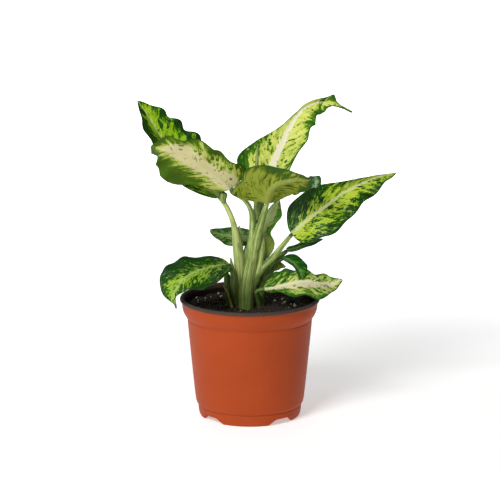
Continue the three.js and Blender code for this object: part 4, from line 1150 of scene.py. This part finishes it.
def leaf_finish(name, look):
    """Blade: cream, lime and dark green zones that side veins pull into streaks and specks."""
    finish = Finish(name, Specular_IOR_Level=0.13, Subsurface_Weight=0.12, Subsurface_Scale=0.002)
    finish.shader.inputs["Subsurface Radius"].default_value = (0.6, 1.0, 0.3)
    place = finish.attribute("place")
    vein, _, _ = finish.parts(place)
    beyond_pale, beyond_dark, lower = finish.parts(finish.attribute("zone"))
    place = finish.warp(place, 0.35, 2.6)
    broad = finish.noise(place, (0.11, 0.07, 0.0))
    blotch = finish.noise(place, (0.24, 0.12, 0.0))
    streak = finish.noise(place, (0.5 * look.get("fine", 1.0), 0.12, 0.0), 3.0)
    speck = finish.noise(place, (0.62, 0.4, 0.0))
    fleck = finish.noise(place, (0.5, 0.22, 0.0), 2.5)
    loose = (fleck + look["flecks"] * 0.16).step(0.66, 0.7)
    # The first share is dark marks, partly painted shadow; then light marks and the midrib's stripe.
    marks, lights, stripe = finish.parts(finish.attribute("marks"))
    ragged = (fleck - 0.5) * 0.9
    marks = (marks + ragged).step(0.3, 0.48)
    lights = (lights + ragged).step(0.25, 0.55)
    depth = (beyond_dark * TONE_PER_MM).math("MAXIMUM", LEAST_DEPTH)
    tone = (START_TONE + depth + (broad - 0.5) * 0.9 + (blotch - 0.5) * look["blotch"]
            + (streak - 0.5) * look["streak"] + (speck - 0.5) * look["speck"] + loose * FLECK_TONE
            + marks * DARK_MARK_AND_SHADOW_TONE - lights * LIGHT_MARK_TONE)
    pale = (beyond_pale + (streak - 0.5) * 7.0).step(0.9, -0.7) * (1.0 - loose * 0.7) * (1.0 - marks * 0.85)
    rib = (stripe + (streak - 0.5) * 0.8).step(0.3, 0.75) * (0.45 + (blotch - 0.3) * 1.1)
    faces = []
    for codes in (look["upper"], look.get("lower", look["upper"])):
        cream, light, lime, green, deep, midrib = map(paint, codes)
        colour = finish.ramp(tone, [(0.12, light), (0.42, lime), (0.52, green), (0.9, deep)])
        colour = finish.mix(pale, colour, cream)
        faces.append(finish.mix(rib, colour, midrib))
    colour = finish.mix(lower, faces[0], faces[1])
    lines = (vein * (2 * math.pi / VEIN_SPACING)).math("COSINE")
    spread = {"From Min": -1.0, "From Max": 1.0, "To Min": 0.98, "To Max": 1.01}
    shade = finish.node("MapRange", {}, {"Value": lines, **spread})
    brightness = finish.node("CombineXYZ", {}, {0: shade, 1: shade, 2: shade})
    finish.set("Base Color", finish.mix(1.0, colour, brightness, "MULTIPLY"))
    finish.set("Roughness", finish.noise(place, (0.3, 0.2, 0.0)) * 0.14 + 0.34 + lower * 0.16)
    finish.bump(lines * 0.15 + streak, 0.0003, 0.5)
    return finish.material


# The levels in millimetres from which painted shade darkens a stalk down to the soil, and over which the
# painted highlight on the pot's rim comes in.
STALK_SHADE = (118.0, 84.0)
RIM_HIGHLIGHT_LEVELS = (86.5, 88.0)


def stalk_finish(name, light, mid, deep):
    """Stalk: pale and green stripes along it, painted shade darker towards the soil, and darker at the joint
    below its leaf.
    """
    finish = Finish(name, 0.42, Specular_IOR_Level=0.25, Subsurface_Weight=0.1, Subsurface_Scale=0.002)
    place = finish.attribute("place")
    tone, past_joint, _ = finish.parts(finish.attribute("zone"))
    _, _, height = finish.parts(finish.object_place())
    stripes = finish.noise(place, (0.7, 0.7, 0.03), 3.0)
    fine = finish.noise(place, (2.4, 2.4, 0.12))
    mottle = finish.noise(place, (0.3, 0.3, 0.2))
    value = 0.59 + (stripes - 0.5) * 1.6 + (fine - 0.5) * 0.5 + (mottle - 0.5) * 0.5 - tone * 0.35
    colour = finish.ramp(value, [(0.15, light), (0.5, mid), (0.95, deep)])
    # Painted shade: the stalk darkens towards the soil below the leaves.
    ground = (height * (1 / MM) + (mottle - 0.5) * 10.0).step(*STALK_SHADE)
    colour = finish.mix(ground * 0.6, colour, paint("3c5618"))
    colour = finish.mix(past_joint.step(0.0, 2.0) * 0.85, colour, paint("2f4414"))
    finish.set("Base Color", colour)
    finish.bump(stripes + fine * 0.4, 0.0004, 0.6)
    return finish.material


def pot_finish(shell, lining):
    """Moulded plastic: terracotta outside with faint mottling, near black inside with painted shade, and dark
    on the rolled rim with a mottled painted highlight.
    """
    finish = Finish("pot_plastic", Specular_IOR_Level=0.1)
    place = finish.object_place()
    inside, _, _ = finish.parts(finish.attribute("zone"))
    cloud = finish.noise(place, (22.0, 22.0, 30.0), 3.0)
    fine = finish.noise(place, (900.0, 900.0, 900.0))
    rings = finish.noise(place, (3.0, 3.0, 420.0))
    outside = finish.ramp((cloud - 0.5) * 0.9 + 0.5, [(0.1, times(0.86, shell)), (0.9, times(1.1, shell))])
    # Painted light on the lining: a mottled painted highlight of two to three times the lining colour on the
    # rolled rim, and painted shade of half the lining colour inside the pot.
    rim_highlight_noise = finish.noise(place, (160.0, 160.0, 160.0), 4.0)
    _, _, level = finish.parts(place)
    bead = (level * (1 / MM)).step(*RIM_HIGHLIGHT_LEVELS)
    painted_rim_highlight = finish.mix((rim_highlight_noise - 0.35) * 0.9, times(2.1, lining), times(3.0, lining))
    inner = finish.mix(bead, times(0.5, lining), painted_rim_highlight)
    finish.set("Base Color", finish.mix(inside, outside, inner))
    finish.set("Roughness", 0.4 + fine * 0.16 + inside * 0.08)
    finish.bump(fine * 0.5 + rings * 0.5, 0.00006, 0.5)
    return finish.material


def soil_finish(name, dark, light):
    """Peat: near black to brown in crumbs, rough."""
    finish = Finish(name, roughness=0.9)
    place = finish.object_place()
    crumbs = finish.noise(place, (700.0, 700.0, 700.0), 4.0)
    fibres = finish.noise(place, (260.0, 1300.0, 500.0), 3.0)
    finish.set("Base Color", finish.ramp(crumbs * 0.6 + fibres * 0.4, [(0.3, dark), (0.75, light)]))
    finish.bump(crumbs + fibres, 0.0008, 0.8)
    return finish.material


# ---------------------------------------------------------------- what a user may change

def colour_setting(name, description, code):
    """A colour that a user may change, from a six-digit screen colour."""
    return FloatVectorProperty(name=name, description=description, subtype="COLOR", default=paint(code))


def count_setting(name, description, default, least=0, most=4000):
    """A whole number that a user may change."""
    return IntProperty(name=name, description=description, default=default, min=least, max=most)


def number_setting(name, description, default, **kind):
    """A number that a user may change, with its unit or subtype if it has one."""
    return FloatProperty(name=name, description=description, default=default, **kind)


class PlantSettings(bpy.types.PropertyGroup):
    """Sizes and finish of the leaves and stalks."""

    leaf_rows: count_setting("Leaf rows", "Rows of faces along the longest leaf", 170, 20, 400)
    leaf_columns: count_setting("Leaf columns", "Rows of faces across a leaf", 72, 12, 200)
    thickness: number_setting("Blade thickness", "Thickness of a leaf's blade", 0.7 * MM, unit="LENGTH")
    rib: number_setting("Midrib", "How far the midrib stands out below", 1.0 * MM, unit="LENGTH")
    stalk_light: colour_setting("Stalk, pale", "Colour of a stalk's pale stripes", "b2bd74")
    stalk_mid: colour_setting("Stalk, green", "Colour of a stalk", "728a40")
    stalk_deep: colour_setting("Stalk, dark", "Colour of a stalk's dark stripes", "3c6412")


class PotSettings(bpy.types.PropertyGroup):
    """Finish of the pot and its soil."""

    shell: colour_setting("Outside", "Colour of the pot's outside", "a8451e")
    lining: colour_setting("Inside", "Colour of the inside and the rim", "302824")
    soil_dark: colour_setting("Soil, dark", "Darkest colour of the soil", "0b0603")
    soil_light: colour_setting("Soil, light", "Lightest colour of the soil", "33241a")
    crumbs: count_setting("Crumbs", "Number of crumbs on the soil", 1500)
    seed: count_setting("Seed", "Start of the random draws for the soil", 7)


class StageSettings(bpy.types.PropertyGroup):
    """Floor, lights and camera."""

    key: number_setting("Key light", "Power of the large light at the front left", 39.5)
    side: number_setting("Side light", "Power of the light at the left", 2.0)
    back: number_setting("Floor light", "Power of the light on the floor behind", 55.0)
    sky: number_setting("Surroundings", "Strength of the even light from all round", 0.14)
    glow: number_setting("Floor glow", "Light that the white floor gives by itself", 0.43)
    distance: number_setting("Camera distance", "Distance from the camera to the plant", 2.0, unit="LENGTH")
    elevation: number_setting("Camera height angle", "How far the camera looks down", math.radians(12.7),
                              subtype="ANGLE")


# ---------------------------------------------------------------- operators

class DIEFFENBACHIA_OT_pot(bpy.types.Operator):
    """Make the nursery pot with its notched feet and rolled rim"""

    bl_idname = "dieffenbachia.pot"
    bl_label = "Make the pot"

    def execute(self, context):
        settings = context.scene.dieffenbachia_pot
        pot = pot_mesh("nursery_pot", POT_SIDES)
        cutters = []
        for turn in notch_turns():
            x, y = DRAIN_PLACE * math.cos(turn), DRAIN_PLACE * math.sin(turn)
            rings, _ = tube([(x, y, level, DRAIN_RADIUS) for level in DRAIN_LEVELS], DRAIN_SIDES, DRAIN_STEP)
            cutters.append(ring_mesh("drain", rings))
            cut = pot.modifiers.new("drain", "BOOLEAN")
            cut.operation = "DIFFERENCE"
            cut.solver = "EXACT"
            cut.object = cutters[-1]
        apply_modifiers(pot)
        for cutter in cutters:
            bpy.data.objects.remove(cutter)
        mark_lining(pot)
        dress(pot, pot_finish(tuple(settings.shell), tuple(settings.lining)), "pot_plastic", "pot")
        return {"FINISHED"}


class DIEFFENBACHIA_OT_soil(bpy.types.Operator):
    """Make the soil with its crumbs and white grains"""

    bl_idname = "dieffenbachia.soil"
    bl_label = "Make the soil"

    def execute(self, context):
        settings = context.scene.dieffenbachia_pot
        seed = settings.seed
        dark, light = tuple(settings.soil_dark), tuple(settings.soil_light)
        dress(soil_mesh("peat", SOIL_SIDES, seed), soil_finish("peat", dark, light), "soil", "soil")
        x, y, size = soil_spots(settings.crumbs, *CRUMB_SIZES, seed + 1)
        spots = np.stack([x, y, soil_height(x, y, seed)], -1)
        crumbs = grains_mesh("soil_crumbs", spots, size, CRUMB_FLATNESS, seed + 2)
        dress(crumbs, soil_finish("crumbs", dark, times(1.6, light)), "soil")
        drawn = soil_spots(GRAIN_COUNT, *GRAIN_SIZES, seed + 3)
        x, y, size = (np.concatenate(pair) for pair in zip(drawn, np.array(GRAIN_SPOTS).T))
        spots = np.stack([x, y, soil_height(x, y, seed) + GRAIN_LIFT * size], -1)
        grains = grains_mesh("white_grains", spots, size, GRAIN_FLATNESS, seed + 4)
        dress(grains, soil_finish("white_grains", paint("8f8a78"), paint("e4e0cf")), "soil")
        return {"FINISHED"}


class DIEFFENBACHIA_OT_stalks(bpy.types.Operator):
    """Make the canes and leaf stalks of the three shoots, and the rolled young leaf"""

    bl_idname = "dieffenbachia.stalks"
    bl_label = "Make the stalks"

    def execute(self, context):
        settings = context.scene.dieffenbachia_plant
        colours = (settings.stalk_light, settings.stalk_mid, settings.stalk_deep)
        material = stalk_finish("stalk", *(tuple(colour) for colour in colours))
        for name, stalks in SHOOTS.items():
            dress(shoot_mesh(name + "_stalks", stalks, STALK_SIDES), material, "stalk", name)
        spear = shoot_mesh("young_spear", [{"rows": ROLLED_LEAF, "tone": 0.3, "groove": 0.0}], SPEAR_SIDES)
        dress(spear, material, "young_leaf", "rolled_leaf")
        return {"FINISHED"}


class DIEFFENBACHIA_OT_leaves(bpy.types.Operator):
    """Make every leaf blade with its zones of cream, lime and dark green"""

    bl_idname = "dieffenbachia.leaves"
    bl_label = "Make the leaves"

    def execute(self, context):
        settings = context.scene.dieffenbachia_plant
        finishes = {name: leaf_finish(name, look) for name, look in LOOKS.items()}
        lengths = {name: arc_length(catmull(leaf["midrib"], np.linspace(0, 1, 50)))[-1]
                   for name, leaf in LEAVES.items()}
        longest = max(lengths.values())
        for name, leaf in LEAVES.items():
            rows = max(LEAST_ROWS, int(settings.leaf_rows * lengths[name] / longest))
            share = min(1, lengths[name] / FULL_COLUMNS_LENGTH)
            columns = max(LEAST_COLUMNS, int(settings.leaf_columns * share) // 2 * 2)
            sizes = (settings.thickness / MM, settings.rib / MM)
            look = leaf.get("look", name)
            piece = blade_mesh(name + "_blade", name, leaf, rows, columns, *sizes)
            dress(piece, finishes[look], LOOKS[look]["slot"], name)
        return {"FINISHED"}


class DIEFFENBACHIA_OT_stage(bpy.types.Operator):
    """Make the pale floor, the soft lights and the camera"""

    bl_idname = "dieffenbachia.stage"
    bl_label = "Make the stage"

    def execute(self, context):
        settings = context.scene.dieffenbachia_stage
        corners = [(x * FLOOR_REACH, y * FLOOR_REACH, 0) for x, y in ((-1, -1), (1, -1), (1, 1), (-1, 1))]
        floor = make_piece("floor", corners, [(0, 1, 2, 3)])
        finish = Finish("floor", 0.9)
        finish.set("Base Color", (0.93, 0.93, 0.93, 1))
        finish.set("Emission Color", (1, 1, 1, 1))
        finish.set("Emission Strength", settings.glow)
        floor.data.materials.append(finish.material)
        for name, (place, aim, width) in LIGHTS.items():
            light = bpy.data.lights.new(name, "AREA")
            light.shape = "DISK"
            light.size = width
            light.energy = getattr(settings, name)
            aimed(bpy.data.objects.new(name, light), Vector(place), Vector(aim))
        world = bpy.data.worlds.new("surroundings")
        world.use_nodes = True
        background = world.node_tree.nodes["Background"]
        background.inputs["Color"].default_value = (1, 1, 1, 1)
        background.inputs["Strength"].default_value = settings.sky
        context.scene.world = world
        context.scene.view_settings.view_transform = "Standard"
        camera = bpy.data.cameras.new("camera")
        camera.sensor_width = SENSOR_WIDTH
        camera.lens = SENSOR_WIDTH * FOCAL_PIXELS / PHOTO_PIXELS
        camera.clip_end = 100
        back = Vector((0, -math.cos(settings.elevation), math.sin(settings.elevation)))
        viewer = bpy.data.objects.new("camera", camera)
        aimed(viewer, Vector(TARGET) + back * settings.distance, Vector(TARGET))
        context.scene.camera = viewer
        return {"FINISHED"}


class DIEFFENBACHIA_PT_panel(bpy.types.Panel):
    """The plant's settings and operators"""

    bl_label = "Potted dieffenbachia"
    bl_space_type = "VIEW_3D"
    bl_region_type = "UI"
    bl_category = "Dieffenbachia"

    def draw(self, context):
        for group in SETTINGS:
            settings = getattr(context.scene, group)
            box = self.layout.box()
            for key in settings.bl_rna.properties.keys():
                if key not in ("rna_type", "name"):
                    box.prop(settings, key)
        for operator in OPERATORS:
            self.layout.operator(operator.bl_idname)


OPERATORS = (
    DIEFFENBACHIA_OT_stage,
    DIEFFENBACHIA_OT_pot,
    DIEFFENBACHIA_OT_soil,
    DIEFFENBACHIA_OT_stalks,
    DIEFFENBACHIA_OT_leaves,
)
SETTINGS = {
    "dieffenbachia_plant": PlantSettings,
    "dieffenbachia_pot": PotSettings,
    "dieffenbachia_stage": StageSettings,
}
CLASSES = (*SETTINGS.values(), *OPERATORS, DIEFFENBACHIA_PT_panel)


def aimed(thing, place, aim):
    """Puts a light or the camera in its place, turned to what it points at."""
    thing.location = place
    thing.rotation_euler = (aim - place).to_track_quat("-Z", "Y").to_euler()
    bpy.context.scene.collection.objects.link(thing)


def apply_modifiers(piece):
    """Bakes a piece's modifiers into its mesh."""
    bpy.context.view_layer.update()
    evaluated = piece.evaluated_get(bpy.context.evaluated_depsgraph_get())
    mesh = bpy.data.meshes.new_from_object(evaluated)
    piece.modifiers.clear()
    piece.data = mesh
    mesh.shade_smooth()


def register():
    for item in CLASSES:
        bpy.utils.register_class(item)
    for name, group in SETTINGS.items():
        setattr(bpy.types.Scene, name, PointerProperty(type=group))


def unregister():
    for name in SETTINGS:
        delattr(bpy.types.Scene, name)
    for item in reversed(CLASSES):
        bpy.utils.unregister_class(item)


def main():
    register()
    bpy.ops.dieffenbachia.stage()
    bpy.ops.dieffenbachia.pot()
    bpy.ops.dieffenbachia.soil()
    bpy.ops.dieffenbachia.stalks()
    bpy.ops.dieffenbachia.leaves()


if __name__ == "__main__":
    main()
